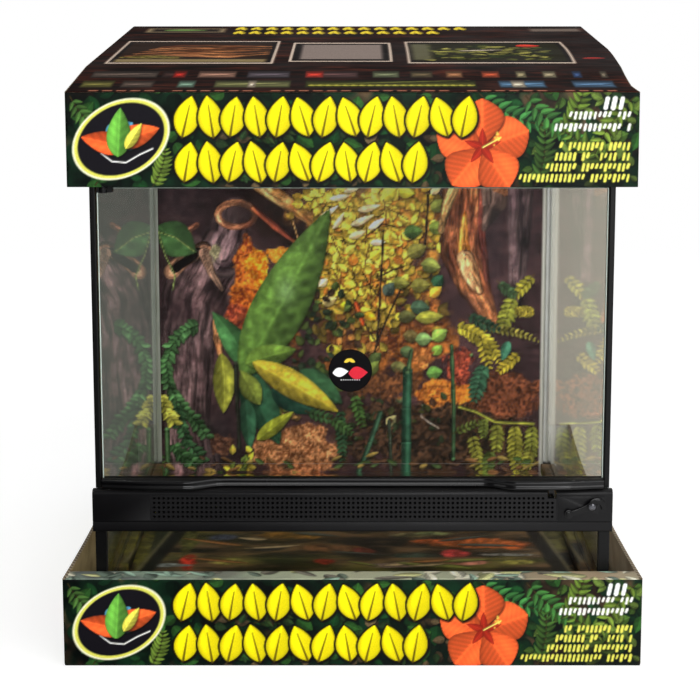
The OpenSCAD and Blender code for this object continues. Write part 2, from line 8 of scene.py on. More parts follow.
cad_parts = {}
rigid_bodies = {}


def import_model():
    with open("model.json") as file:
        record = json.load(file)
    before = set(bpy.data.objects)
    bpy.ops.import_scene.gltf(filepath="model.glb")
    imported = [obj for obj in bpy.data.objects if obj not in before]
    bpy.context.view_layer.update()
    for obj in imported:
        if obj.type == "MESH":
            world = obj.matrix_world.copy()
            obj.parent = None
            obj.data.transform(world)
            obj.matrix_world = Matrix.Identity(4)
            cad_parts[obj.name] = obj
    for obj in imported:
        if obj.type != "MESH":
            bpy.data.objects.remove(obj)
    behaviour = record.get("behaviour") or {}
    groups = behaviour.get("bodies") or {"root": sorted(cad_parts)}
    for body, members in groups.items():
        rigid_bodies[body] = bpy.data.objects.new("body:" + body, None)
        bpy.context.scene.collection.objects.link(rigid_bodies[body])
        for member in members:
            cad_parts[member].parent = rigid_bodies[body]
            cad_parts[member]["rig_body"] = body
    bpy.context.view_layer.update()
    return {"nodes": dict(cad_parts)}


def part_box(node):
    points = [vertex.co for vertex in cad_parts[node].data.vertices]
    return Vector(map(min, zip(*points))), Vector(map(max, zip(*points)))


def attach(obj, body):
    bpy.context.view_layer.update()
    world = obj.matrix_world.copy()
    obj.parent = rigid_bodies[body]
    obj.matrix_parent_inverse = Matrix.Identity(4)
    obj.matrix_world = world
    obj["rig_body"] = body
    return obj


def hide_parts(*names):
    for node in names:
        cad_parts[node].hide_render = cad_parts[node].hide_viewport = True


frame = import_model()
scene = bpy.context.scene
scene.view_settings.view_transform = "Standard"
mm = 0.001


# Camera: it stands about one and a half metres in front of the door, a little above the tank's top,
# and looks slightly down. Its long lens is shifted so that the whole object fills a square frame.
distance = 1524 * mm
front_y = -228.5 * mm
eye_height = 640 * mm
pitch = 8.77
focal_px, centre_px, frame_px, sensor = 1776, (352.5, 212.4), 700, 36

lens = bpy.data.cameras.new("camera")
lens.sensor_width = sensor
lens.lens = focal_px * sensor / frame_px
lens.shift_x = -(centre_px[0] - frame_px / 2) / frame_px
lens.shift_y = (centre_px[1] - frame_px / 2) / frame_px
lens.clip_start, lens.clip_end = 0.01, 50
camera = bpy.data.objects.new("camera", lens)
camera.location = (0, front_y - distance, eye_height)
camera.rotation_euler = (math.radians(90 - pitch), 0, 0)
scene.collection.objects.link(camera)
scene.camera = camera


def add(tree, kind, inputs=None, **settings):
    """Adds a shader node; an input is a socket to link or a plain value."""
    node = tree.nodes.new("ShaderNode" + kind)
    for key, value in settings.items():
        setattr(node, key, value)
    for key, value in (inputs or {}).items():
        if isinstance(value, bpy.types.NodeSocket):
            tree.links.new(value, node.inputs[key])
        else:
            node.inputs[key].default_value = value
    return node


def math_node(tree, operation, *values, clamp=False):
    """Adds a Math node and returns its output."""
    return add(tree, "Math", dict(enumerate(values)), operation=operation, use_clamp=clamp).outputs[0]


def mix_colour(tree, factor, a, b, blend="MIX"):
    """Mixes two colours by a factor and returns the colour."""
    node = add(tree, "Mix", {0: factor, 6: a, 7: b}, data_type="RGBA", blend_type=blend)
    return node.outputs[2]


def grey(value):
    return (value, value, value, 1)


def here(tree):
    """Object coordinates, in metres."""
    return add(tree, "TexCoord").outputs["Object"]


def component(tree, place, k):
    """One coordinate of a place."""
    return add(tree, "SeparateXYZ", {0: place}).outputs[k]


def ranged(tree, value, low, high, start=0.0, end=1.0, **settings):
    """A value that runs from low to high, mapped to run from start to end."""
    return add(tree, "MapRange", {0: value, 1: low, 2: high, 3: start, 4: end}, **settings).outputs[0]


# Studio: white all round, four soft boxes and a pale floor. What lies behind the tank looks grey
# through the glass, darker on the left, and dark flags shade what the black mouldings mirror there.
behind_left, behind_right = (0.17, 0.18, 0.155, 1), (0.67, 0.63, 0.52, 1)
flag_left, flag_right = 0.03, 0.50
boxes = (("key", (1.3, -2.1, 1.7), (0, 0, 0.25), 1.5, 28),
         ("fill", (-1.9, -1.5, 1.1), (0, 0, 0.2), 1.6, 10),
         ("front", (0.3, -2.9, 0.8), (0, 0, 0.25), 1.2, 30),
         ("top", (0, 0.2, 2.3), (0, 0, 0.2), 1.6, 17))


def behind(tree, place):
    """The grey behind the tank at a place or in a direction, and how much of it there is."""
    split = add(tree, "SeparateXYZ", {0: place})
    side = ranged(tree, split.outputs[0], -0.1, 0.1, interpolation_type="SMOOTHSTEP")
    deep = ranged(tree, split.outputs[1], 0.1, 0.25, interpolation_type="SMOOTHSTEP")
    return mix_colour(tree, side, behind_left, behind_right), deep


world = bpy.data.worlds.new("studio")
scene.world = world
world.use_nodes = True
sky = world.node_tree
path = add(sky, "LightPath")
direction = add(sky, "TexCoord").outputs["Generated"]
tone, share = behind(sky, direction)
through = mix_colour(sky, share, grey(0.8), tone)
side = ranged(sky, component(sky, direction, 0), -0.4, 0.5)
daylight = mix_colour(sky, side, grey(flag_left), grey(flag_right))
colour = mix_colour(sky, path.outputs["Is Camera Ray"], daylight, grey(1))
colour = mix_colour(sky, path.outputs["Is Transmission Ray"], colour, through)
sky.links.new(colour, sky.nodes["Background"].inputs["Color"])

for name, spot, target, size, power in boxes:
    lamp = bpy.data.lights.new(name, "AREA")
    lamp.size, lamp.energy = size, power
    holder = bpy.data.objects.new(name, lamp)
    holder.location = spot
    holder.rotation_euler = (Vector(target) - Vector(spot)).to_track_quat("-Z", "Y").to_euler()
    scene.collection.objects.link(holder)

floor_mesh = bmesh.new()
bmesh.ops.create_grid(floor_mesh, x_segments=1, y_segments=1, size=14)
floor_data = bpy.data.meshes.new("floor")
floor_mesh.to_mesh(floor_data)
floor = bpy.data.objects.new("floor", floor_data)
scene.collection.objects.link(floor)
paper = bpy.data.materials.new("studio_paper")
paper.use_nodes = True
tree = paper.node_tree
skin = tree.nodes["Principled BSDF"]
skin.inputs["Base Color"].default_value = grey(0.9)
skin.inputs["Roughness"].default_value = 0.9
skin.inputs["Specular IOR Level"].default_value = 0
path = add(tree, "LightPath")
place = here(tree)
away = add(tree, "VectorMath", {0: place}, operation="LENGTH").outputs["Value"]
glow = ranged(tree, away, 0.7, 2.0, 1.36, 1.0, interpolation_type="SMOOTHSTEP")
even = ranged(tree, away, 0.6, 1.6, 0.56, 1.0, interpolation_type="SMOOTHSTEP")
white = add(tree, "Emission", {0: grey(1), 1: glow})
lift = math_node(tree, "MULTIPLY", path.outputs["Is Camera Ray"], even)
shown = add(tree, "MixShader", {0: lift, 1: skin.outputs[0], 2: white.outputs[0]})
across = component(tree, place, 0)
flag = ranged(tree, across, -0.24, 0.26, 0.0, 1.3)
flag = add(tree, "Emission", {0: grey(1), 1: flag})
mirrored = math_node(tree, "SUBTRACT", path.outputs["Is Glossy Ray"], path.outputs["Is Transmission Ray"],
                     clamp=True)
shown = add(tree, "MixShader", {0: mirrored, 1: shown.outputs[0], 2: flag.outputs[0]})
tone, share = behind(tree, place)
card = add(tree, "Emission", {0: tone, 1: 1.0})
through = math_node(tree, "MULTIPLY", path.outputs["Is Transmission Ray"], share)
shown = add(tree, "MixShader", {0: through, 1: shown.outputs[0], 2: card.outputs[0]})
tree.links.new(shown.outputs[0], tree.nodes["Material Output"].inputs[0])
floor_data.materials.append(paper)


# Moulded frames: the base ring, the top ring and the vent panel are injection moulded in black ABS
# with a fine spark-eroded grain, and the glass is glued into them.
def noise(tree, place, scale, detail=2.0):
    return add(tree, "TexNoise", {"Vector": place, "Scale": scale, "Detail": detail}).outputs[0]


def node_group(name, inputs, outputs):
    """A shader node group with float or vector sockets named by (name, kind, value)."""
    group = bpy.data.node_groups.new(name, "ShaderNodeTree")
    for label, kind, value in inputs:
        socket = group.interface.new_socket(label, in_out="INPUT", socket_type="NodeSocket" + kind)
        if value is not None:
            socket.default_value = value
    for label, kind in outputs:
        group.interface.new_socket(label, in_out="OUTPUT", socket_type="NodeSocket" + kind)
    return group, group.nodes.new("NodeGroupInput"), group.nodes.new("NodeGroupOutput")


grain_group, entry, leave = node_group(
    "moulded_grain",
    [("Grain Size", "Float", 900.0), ("Shine", "Float", 0.4), ("Tone", "Color", grey(0.014))],
    [("Color", "Color"), ("Roughness", "Float"), ("Height", "Float")])
place = here(grain_group)
fine = noise(grain_group, place, entry.outputs["Grain Size"], 3.0)
blotch = noise(grain_group, place, 14.0, 4.0)
streak = ranged(grain_group, blotch, 0.35, 0.7, -0.05, 0.08)
# Faces that look up are made lighter where the blotch noise is high: partly dust, partly a painted highlight on the
# mouldings' upper edges.
facing = add(grain_group, "SeparateXYZ", {0: add(grain_group, "NewGeometry").outputs["Normal"]}).outputs[2]
upward = ranged(grain_group, facing, 0.6, 1.0)
dust_and_top_highlight = math_node(grain_group, "MULTIPLY", upward, blotch)
dust_and_highlight_share = math_node(grain_group, "MULTIPLY", dust_and_top_highlight, 0.07)
tint = mix_colour(grain_group, dust_and_highlight_share, entry.outputs["Tone"], (0.30, 0.29, 0.28, 1))
shine = math_node(grain_group, "ADD", entry.outputs["Shine"], streak)
shine = math_node(grain_group, "ADD", shine, math_node(grain_group, "MULTIPLY", dust_and_top_highlight, 0.15))
grain_group.links.new(tint, leave.inputs["Color"])
grain_group.links.new(shine, leave.inputs["Roughness"])
grain_group.links.new(fine, leave.inputs["Height"])


def feed(shader, key, value):
    """Links a value to one of the shader's sockets."""
    shader.id_data.links.new(value, shader.inputs[key])


def relief(tree, shader, height, depth, strength=0.5, **settings):
    """Fine relief that the shader's normal follows."""
    bump = add(tree, "Bump", {"Height": height, "Distance": depth, "Strength": strength}, **settings)
    feed(shader, "Normal", bump.outputs[0])


def finish(name, **sockets):
    """A new material and its Principled node, with plain values set on the shader's own sockets."""
    made = bpy.data.materials.new(name)
    made.use_nodes = True
    shader = made.node_tree.nodes["Principled BSDF"]
    for key, value in sockets.items():
        shader.inputs[key.replace("_", " ")].default_value = value
    return made, made.node_tree, shader


def plastic(name, tone, shine, grain=900.0, depth=0.05 * mm, **sockets):
    """Grained moulded plastic."""
    made, tree, shader = finish(name, **sockets)
    grained = tree.nodes.new("ShaderNodeGroup")
    grained.node_tree = grain_group
    grained.inputs["Grain Size"].default_value = grain
    grained.inputs["Shine"].default_value = shine
    grained.inputs["Tone"].default_value = tone
    feed(shader, "Base Color", grained.outputs["Color"])
    feed(shader, "Roughness", grained.outputs["Roughness"])
    relief(tree, shader, grained.outputs["Height"], depth)
    return made


def dress(node, *finishes):
    """Puts finishes on a CAD node's material slots."""
    data = frame["nodes"][node].data
    data.materials.clear()
    for made in finishes:
        data.materials.append(made)


def body_of(node):
    return frame["nodes"][node]["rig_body"]


def hand_in(name, mesh, finishes, body, slot, *nodes):
    """Turns a bmesh into a piece that rides a body, takes the finishes and replaces CAD nodes; slot is not used."""
    data = bpy.data.meshes.new(name)
    mesh.to_mesh(data)
    mesh.free()
    for made in finishes:
        data.materials.append(made)
    piece = bpy.data.objects.new(name, data)
    scene.collection.objects.link(piece)
    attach(piece, body)
    if nodes:
        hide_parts(*nodes)
    return piece


def softened(node, width, finishes, slot, angle=32):
    """A copy of a CAD node with its sharp outer edges rounded by width, in the node's own place."""
    mesh = bmesh.new()
    mesh.from_mesh(frame["nodes"][node].data)
    bmesh.ops.remove_doubles(mesh, verts=mesh.verts, dist=0.002 * mm)
    bmesh.ops.dissolve_limit(mesh, angle_limit=math.radians(1), verts=mesh.verts, edges=mesh.edges)
    limit = math.radians(angle)
    if width:
        sharp = [e for e in mesh.edges if len(e.link_faces) == 2 and e.calc_face_angle_signed() > limit]
        bmesh.ops.bevel(mesh, geom=sharp, offset=width, offset_type="OFFSET", affect="EDGES", segments=2,
                        profile=0.5, material=-1, clamp_overlap=True)
    for face in mesh.faces:
        face.smooth = True
        face.material_index = 0
    for edge in mesh.edges:
        edge.smooth = len(edge.link_faces) == 2 and edge.calc_face_angle() < limit
    return hand_in(node + "_finished", mesh, finishes, body_of(node), slot, node)


abs_black = plastic("moulded_abs", (0.0018, 0.0016, 0.0021, 1), 0.42, Specular_IOR_Level=0.2)
for node in ("base_frame", "top_frame"):
    dress(node, abs_black)
softened("vent_panel", 0.35 * mm, [abs_black], "black_moulding")


# Glass: six panes of 4 mm float glass with ground edges that show pale green, but black low down where
# silicone covers them. The door's pane is the clearest, and lamps shine through all of them.
def glass(name, bend, tint):
    made, tree, shader = finish(name, Base_Color=tint, Roughness=0.0, IOR=bend, Transmission_Weight=1.0)
    path = add(tree, "LightPath")
    clear = add(tree, "BsdfTransparent", {0: (0.98, 0.99, 0.98, 1)})
    lamp_ray = math_node(tree, "MAXIMUM", path.outputs["Is Shadow Ray"], path.outputs["Is Diffuse Ray"])
    both = add(tree, "MixShader", {0: lamp_ray, 1: shader.outputs[0], 2: clear.outputs[0]})
    tree.links.new(both.outputs[0], tree.nodes["Material Output"].inputs[0])
    return made


door_clear = glass("door_float_glass", 1.12, (1, 1, 1, 1))
rear_clear = glass("rear_float_glass", 1.08, (1, 1, 1, 1))
pane_clear = glass("float_glass", 1.18, (0.97, 0.985, 0.97, 1))
edge_green, tree, shader = finish("ground_glass_edge", Roughness=0.4, Transmission_Weight=0.0)
place = here(tree)
ground = mix_colour(tree, noise(tree, place, 260.0, 4.0), (0.42, 0.55, 0.48, 1), (0.74, 0.80, 0.74, 1))
dry = ranged(tree, component(tree, place, 2), 135 * mm, 150 * mm)
feed(shader, "Base Color", mix_colour(tree, dry, grey(0.01), ground))
arris = 0.5 * mm


def pane(node, clear):
    """A pane with ground edges in a CAD pane's place."""
    low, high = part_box(node)
    size = high - low
    thin = min(range(3), key=lambda k: size[k])
    mesh = bmesh.new()
    bmesh.ops.create_cube(mesh, size=1)
    bmesh.ops.scale(mesh, vec=size, verts=mesh.verts)
    bmesh.ops.translate(mesh, vec=(low + high) / 2, verts=mesh.verts)
    bmesh.ops.bevel(mesh, geom=mesh.edges, offset=arris, offset_type="OFFSET", affect="EDGES", segments=2,
                    profile=0.5, material=-1)
    for face in mesh.faces:
        face.material_index = 0 if abs(face.normal[thin]) > 0.99 else 1
    return hand_in(node + "_pane", mesh, [clear, edge_green], body_of(node), "glass", node)


for node in ("floor_glass", "left_glass", "right_glass"):
    pane(node, pane_clear)
pane("rear_glass", rear_clear)
for node in ("door_glass", "lower_front_glass"):
    pane(node, door_clear)


# Silicone: the beads in the tank's corners are drawn with a nozzle and smoothed with a finger, so they
# are a little uneven along their length. They are milky in the rear corners, with painted shade on the left one,
# and black on the floor.
bead, tree, shader = finish("corner_silicone", Roughness=0.32, Subsurface_Weight=0.0, Coat_Weight=0.3)
place = here(tree)
drawn = noise(tree, place, 55.0, 3.0)
above = ranged(tree, component(tree, place, 2), 44 * mm, 47 * mm)
rear = ranged(tree, component(tree, place, 1), -150 * mm, -100 * mm)
milky = math_node(tree, "MULTIPLY", above, rear)
# The left rear bead is painted darker than the right one: painted shade.
right = ranged(tree, component(tree, place, 0), -100 * mm, 100 * mm)
shaded_left_bead = mix_colour(tree, drawn, (0.26, 0.28, 0.22, 1), (0.42, 0.44, 0.37, 1))
white_bead = mix_colour(tree, drawn, (0.60, 0.60, 0.56, 1), (0.84, 0.84, 0.80, 1))
bead_with_painted_shade = mix_colour(tree, right, shaded_left_bead, white_bead)
feed(shader, "Base Color", mix_colour(tree, milky, grey(0.012), bead_with_painted_shade))
relief(tree, shader, drawn, 0.6 * mm, 0.6)
dress("silicone_beads", bead)


# Edge trims: extruded black PVC strips are pushed over the panes' front edges beside the door and
# round the corners of the low pane. Drawing leaves fine lines along them.
trim, tree, shader = finish("extruded_trim", Roughness=0.34, Specular_IOR_Level=0.16)
drawn = add(tree, "Mapping", {"Vector": here(tree), "Scale": (1, 1, 0.02)})
lines = noise(tree, drawn.outputs[0], 1400.0)
feed(shader, "Base Color", mix_colour(tree, lines, grey(0.0015), grey(0.004)))
relief(tree, shader, lines, 0.05 * mm)
for node in ("left_post", "right_post", "lower_left_trim", "lower_right_trim"):
    dress(node, trim)


# Vent strip: a perforated plate pressed into the vent panel's rebate. The holes are punched, so the
# plate is a little smoother than the moulding round it. A black woven sheet behind them is painted shade, so the
# holes show dark.
dress("vent_grille",
      plastic("punched_strip", (0.0024, 0.0021, 0.0027, 1), 0.40, 1100.0, 0.03 * mm, Specular_IOR_Level=0.22))
# The woven sheet behind the holes stands for the shade inside the base: painted shade.
shade_backing, tree, shader = finish("shade_backing_weave", Roughness=0.9, Specular_IOR_Level=0.05)
weave = add(tree, "TexBrick", {"Vector": here(tree), "Scale": 900.0, "Mortar Size": 0.06,
                               1: grey(0.004), 2: grey(0.007), 3: grey(0.001)})
feed(shader, "Base Color", weave.outputs["Color"])
low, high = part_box("vent_grille")
mesh = bmesh.new()
bmesh.ops.create_cube(mesh, size=1)
bmesh.ops.scale(mesh, vec=(high.x - low.x - 4 * mm, 0.3 * mm, high.z - low.z - 2.6 * mm), verts=mesh.verts)
bmesh.ops.translate(mesh, vec=((low.x + high.x) / 2, high.y + 0.3 * mm, (low.z + high.z) / 2), verts=mesh.verts)
hand_in("vent_shade_backing", mesh, [shade_backing], "tank", "grille_black")


# Door rail: a moulded strip that bows forward near both ends, where fingers pull the door open. It
# is polished, and carries the catch; the clip on the pane's upper corner is of the frames' black moulding.
polished = plastic("polished_moulding", (0.0016, 0.0015, 0.0018, 1), 0.30, 500.0, 0.02 * mm, Coat_Weight=0.32,
                   Coat_Roughness=0.06, Specular_IOR_Level=0.1)
softened("door_rail", 0.0, [polished], "rail_moulding", angle=50)
dress("door_catch", polished)
dress("door_top_clip", abs_black)


# Latch: a glossy lever on the vent panel turns a nylon shaft with a hooked arm inside. A screw with a
# raised head holds the two together.
lever_black = plastic("glossy_lever", (0.0015, 0.0014, 0.0016, 1), 0.22, 400.0, 0.02 * mm, Specular_IOR_Level=0.22)
softened("latch_lever", 0.4 * mm, [lever_black], "latch_black")
dress("latch_cam", plastic("black_nylon", (0.006, 0.006, 0.007, 1), 0.42, 700.0, 0.04 * mm))
steel, tree, shader = finish("zinc_plated_steel", Base_Color=(0.62, 0.62, 0.60, 1), Metallic=1.0)
turned = noise(tree, here(tree), 2500.0, 3.0)
feed(shader, "Roughness", ranged(tree, turned, 0, 1, 0.18, 0.42))
relief(tree, shader, turned, 0.03 * mm, 0.4)
for node in ("hinge_pins", "lock_screws"):
    dress(node, steel)
dark_steel, tree, shader = finish("blackened_steel", Base_Color=(0.11, 0.11, 0.12, 1), Metallic=1.0)
turned = noise(tree, here(tree), 2500.0, 3.0)
feed(shader, "Roughness", ranged(tree, turned, 0, 1, 0.2, 0.38))
dress("latch_screw", dark_steel)


# Lid: a moulded frame with a ledge for the screen, which a rubber cord wedges in. Two turn buttons
# hold it down, and two gates slide over the cable slots behind it.
dress("lid_frame", abs_black)
cord_rubber, tree, shader = finish("spline_rubber", Roughness=0.75)
matt = noise(tree, here(tree), 700.0, 3.0)
feed(shader, "Base Color", mix_colour(tree, matt, grey(0.012), grey(0.03)))
dress("lid_spline", cord_rubber)
button_black = plastic("turn_button", (0.010, 0.010, 0.011, 1), 0.33)
for node in ("lid_lock_left", "lid_lock_right", "inlet_gate_left", "inlet_gate_right"):
    dress(node, button_black)

wire_finish, tree, shader = finish("coated_wire", Base_Color=grey(0.03), Metallic=0.6)
coat = noise(tree, here(tree), 900.0)
feed(shader, "Roughness", ranged(tree, coat, 0, 1, 0.35, 0.6))
wire, mesh_pitch = 0.35 * mm, 2.1 * mm
low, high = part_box("lid_screen")
mesh = bmesh.new()
for axis in (0, 1):
    count = int((high[1 - axis] - low[1 - axis]) / mesh_pitch)
    first = (low[1 - axis] + high[1 - axis] - (count - 1) * mesh_pitch) / 2
    level = high[2] - wire * (0.5 + axis)
    for k in range(count):
        middle = Vector((0, 0, level))
        middle[1 - axis] = first + k * mesh_pitch
        middle[axis] = (low[axis] + high[axis]) / 2
        size = Vector((wire, wire, wire))
        size[axis] = high[axis] - low[axis]
        rod = Matrix.Translation(middle) @ Matrix.Diagonal(size.to_4d())
        bmesh.ops.create_cube(mesh, size=1, matrix=rod)
hand_in("lid_screen_woven", mesh, [wire_finish], "lid", "screen_wire", "lid_screen")


# Packing foam: the tank stands on a sheet of white polyethylene foam, and two foam rails in the cap
# grip its sides. The closed cells show as fine dimples.
foam, tree, shader = finish("packing_foam", Roughness=0.7, Sheen_Weight=0.1)
cells = add(tree, "TexVoronoi", {"Vector": here(tree), "Scale": 420.0})
# Darker where the cells' relief lies low: painted shade in the dimples.
dimple_shaded_colour = mix_colour(tree, cells.outputs["Distance"], (0.80, 0.80, 0.78, 1), (0.62, 0.62, 0.60, 1))
feed(shader, "Base Color", dimple_shaded_colour)
relief(tree, shader, cells.outputs["Distance"], 0.6 * mm, invert=True)
dress("bottom_pad", foam)
dress("cap_foam", foam)


# Backdrop: a sheet of coated paper hangs behind the rear pane and shows through it. Its offset print is
# a forest floor with bark, broad leaves, ferns and moss; the back of the sheet is plain.
class Print:
    """Ink on a sheet: rows of dots, each with its place in mm and its colour from 0 to 255."""

    def __init__(self, low, high, cell, ground):
        columns, rows = (max(2, round((high[k] - low[k]) / cell[k])) for k in (0, 1))
        self.across = np.linspace(low[0], high[0], columns + 1)
        self.up = np.linspace(low[1], high[1], rows + 1)
        self.x, self.z = np.meshgrid(self.across, self.up)
        self.ink = np.ones(self.x.shape + (3,)) * ground

    def near(self, points, margin):
        """Rows and columns that hold some points and a margin round them."""
        points = np.asarray(points, float)
        left, low = points.min(axis=0) - margin
        right, high = points.max(axis=0) + margin
        columns = np.searchsorted(self.across, (left, right))
        rows = np.searchsorted(self.up, (low, high))
        return slice(max(rows[0] - 1, 0), rows[1] + 1), slice(max(columns[0] - 1, 0), columns[1] + 1)

    def lay(self, where, cover, colour):
        """Prints a colour over the dots there, as thick as cover says."""
        cover = np.clip(cover, 0, 1)[..., None]
        self.ink[where] += (np.asarray(colour, float) - self.ink[where]) * cover


def cloud(x, z, size, seed, layers=4, contrast=1.6):
    """Soft noise from 0 to 1 with blots of a size in mm, for bark, moss and shade."""
    lattice = np.random.default_rng(seed).random((64, 64))
    total, weight, whole = np.zeros(np.shape(x)), 1.0, 0.0
    for _ in range(layers):
        u, v = x / size + 331.7, z / size + 417.3
        left, low = np.floor(u).astype(int), np.floor(v).astype(int)
        s, t = u - left, v - low
        s, t = s * s * (3 - 2 * s), t * t * (3 - 2 * t)
        corner = [[lattice[(low + j) % 64, (left + i) % 64] for i in (0, 1)] for j in (0, 1)]
        rows = [a + (b - a) * s for a, b in corner]
        total += weight * (rows[0] + (rows[1] - rows[0]) * t)
        whole += weight
        weight, size = weight * 0.55, size / 2.03
    return np.clip((total / whole - 0.5) * contrast + 0.5, 0, 1)


def blend(share, dark, light):
    """A colour between two, for each dot."""
    return np.asarray(dark) + (np.asarray(light, float) - dark) * share[..., None]


def leaf(sheet, foot, turn, length, width, colour, bend=0.0, full=0.75, veins=6, soft=0.7, shadow=0.4, lit=0.2):
    """A leaf with a midrib, side veins, one lit half, a dark rim and a soft shadow under it."""
    cos, sin = math.cos(turn), math.sin(turn)
    tip = (foot[0] + cos * length, foot[1] + sin * length)
    where = sheet.near([foot, tip], width / 2 + abs(bend) * length + 3)
    x, z = sheet.x[where] - foot[0], sheet.z[where] - foot[1]
    if not x.size:
        return
    for dark in ((True, False) if shadow else (False,)):
        u, v = (x - 0.8, z + 1.4) if dark else (x, z)
        along = (u * cos + v * sin) / length
        off = v * cos - u * sin - bend * length * np.clip(along, 0, 1) ** 2
        half = width / 2 * np.sin(math.pi * np.clip(along, 0, 1) ** full) ** 0.8
        edge = half - abs(off)
        edge[(along < 0) | (along > 1)] = -9
        if dark:
            sheet.lay(where, (edge / 2.5 + 0.5) * shadow, (8, 8, 6))
    side = np.tanh(off / (0.12 * width + 0.2))
    rib = np.exp(-(off / (0.03 * width + 0.25)) ** 2)
    vein = np.cos(2 * math.pi * veins * (along - 0.45 * abs(off) / width)) if veins else 0
    rim = np.exp(-np.maximum(edge, 0) / (0.05 * width + 0.3))
    sheen = np.exp(-((off / width - 0.22) / 0.13) ** 2 - ((along - 0.55) / 0.28) ** 2)
    tone = 1 + lit * side + 0.22 * rib + 0.05 * vein - 0.25 * rim + 0.1 * (along - 0.5) + 0.16 * sheen
    sheet.lay(where, edge / soft + 0.5, np.asarray(colour) * tone[..., None])


def strip(sheet, points, widths, soft=0.8):
    """The dots near a bent strip: where, mm along it, -1 to 1 across it, its half width and cover."""
    points = np.array(points, float)
    widths = np.broadcast_to(widths, len(points)).astype(float)
    where = sheet.near(points, widths.max() / 2 + 2)
    x, z = sheet.x[where], sheet.z[where]
    best, along, across, half = (np.full(x.shape, value) for value in (1e9, 0.0, 0.0, 1.0))
    start = 0.0
    for a, b, wide, next_wide in zip(points[:-1], points[1:], widths[:-1], widths[1:]):
        run = math.hypot(*(b - a))
        u, v = (b - a) / run
        t = np.clip((x - a[0]) * u + (z - a[1]) * v, 0, run)
        gap = np.hypot(x - a[0] - u * t, z - a[1] - v * t)
        here = (wide + (next_wide - wide) * t / run) / 2
        closer = gap - here < best
        best[closer] = (gap - here)[closer]
        half[closer] = here[closer]
        along[closer] = (start + t)[closer]
        across[closer] = (np.sign((x - a[0]) * v - (z - a[1]) * u) * gap / here)[closer]
        start += run
    return where, along, across, half, np.clip(0.5 - best / soft, 0, 1)


def stroke(sheet, points, widths, colour, soft=0.8, thick=1.0):
    """A plain stroke of one colour."""
    where, along, across, half, cover = strip(sheet, points, widths, soft)
    sheet.lay(where, cover * thick, colour)


def limb(sheet, points, widths, dark, light, seed, ridge=3.0, soft=1.0, lit=0.35):
    """A branch or trunk with bark ridges along it, lit from the upper right."""
    where, along, across, half, cover = strip(sheet, points, widths, soft)
    grain = cloud(across * half, along / 7, ridge, seed, contrast=2.4)
    blots = cloud(across * half, along / 2, ridge * 5, seed + 1, contrast=2.0)
    round_shade = np.sqrt(np.clip(1 - (across * 0.95) ** 2, 0, 1)) * (1 + lit * across)
    tone = (0.45 + 0.75 * grain) * (0.35 + 0.75 * round_shade)
    sheet.lay(where, cover, blend(np.clip(blots, 0, 1), dark, light) * tone[..., None])


def cane(sheet, points, width, colour, joints=0.0, soft=0.7):
    """A smooth stem with a bright line down it, and pale rings where it has joints."""
    where, along, across, half, cover = strip(sheet, points, width, soft)
    tone = 0.55 + 0.6 * np.exp(-((across - 0.25) / 0.5) ** 2)
    if joints:
        off = along % joints
        tone = tone + 0.5 * np.exp(-(off / 0.9) ** 2) - 0.25 * np.exp(-((off - 2.2) / 1.0) ** 2)
    sheet.lay(where, cover, np.asarray(colour) * tone[..., None])


def moss(sheet, centre, radii, dark, light, size, seed, turn=0.0, ragged=0.5, thick=1.0):
    """A ragged patch of moss, fibre or litter, with its own fine light and shade."""
    where = sheet.near([centre], max(radii) * (1 + ragged))
    x, z = sheet.x[where] - centre[0], sheet.z[where] - centre[1]
    u, v = x * math.cos(turn) + z * math.sin(turn), z * math.cos(turn) - x * math.sin(turn)
    reach = np.hypot(u / radii[0], v / radii[1])
    edge = 1 - reach + ragged * (cloud(x, z, size * 4, seed) - 0.5) * 2
    tone = cloud(u, v, size, seed + 1, contrast=3.0)
    sheet.lay(where, edge * 6 * thick,
              blend(tone, dark, light) * (0.75 + 0.4 * cloud(x, z, size * 3, seed + 2))[..., None])


def shade(sheet, centre, radii, depth, colour=(5, 4, 6)):
    """Soft shadow, or a soft glow where the colour is light."""
    where = sheet.near([centre], max(radii) * 2.2)
    reach = ((sheet.x[where] - centre[0]) / radii[0]) ** 2 + ((sheet.z[where] - centre[1]) / radii[1]) ** 2
    sheet.lay(where, depth * np.exp(-reach), colour)


def arc(foot, turn, length, bend, count):
    """Points along a stem that starts at foot and curves by bend over its length."""
    points, heading, step = [np.array(foot, float)], turn, length / count
    for _ in range(count):
        points.append(points[-1] + step * np.array((math.cos(heading), math.sin(heading))))
        heading += bend / count
    return points


def frond(sheet, foot, turn, length, reach, colour, rng, bend=0.5, pairs=12, slim=0.42, stalk=(70, 60, 30)):
    """A fern frond: a thin stalk with a leaflet on each side at every step, longest near the foot."""
    points = arc(foot, turn, length, bend, pairs)
    cane(sheet, points, 1.1, stalk)
    for step in range(1, pairs + 1):
        way = points[step] - points[step - 1]
        heading = math.atan2(way[1], way[0])
        size = reach * math.sin(math.pi * (0.18 + 0.8 * step / (pairs + 1))) ** 0.7
        for side in (-1, 1):
            tone = np.asarray(colour) * rng.uniform(0.75, 1.2)
            leaf(sheet, points[step], heading + side * rng.uniform(0.95, 1.2), size, size * slim, tone,
                 bend=-side * 0.12, full=0.6, veins=0, shadow=0.3, lit=0.15)


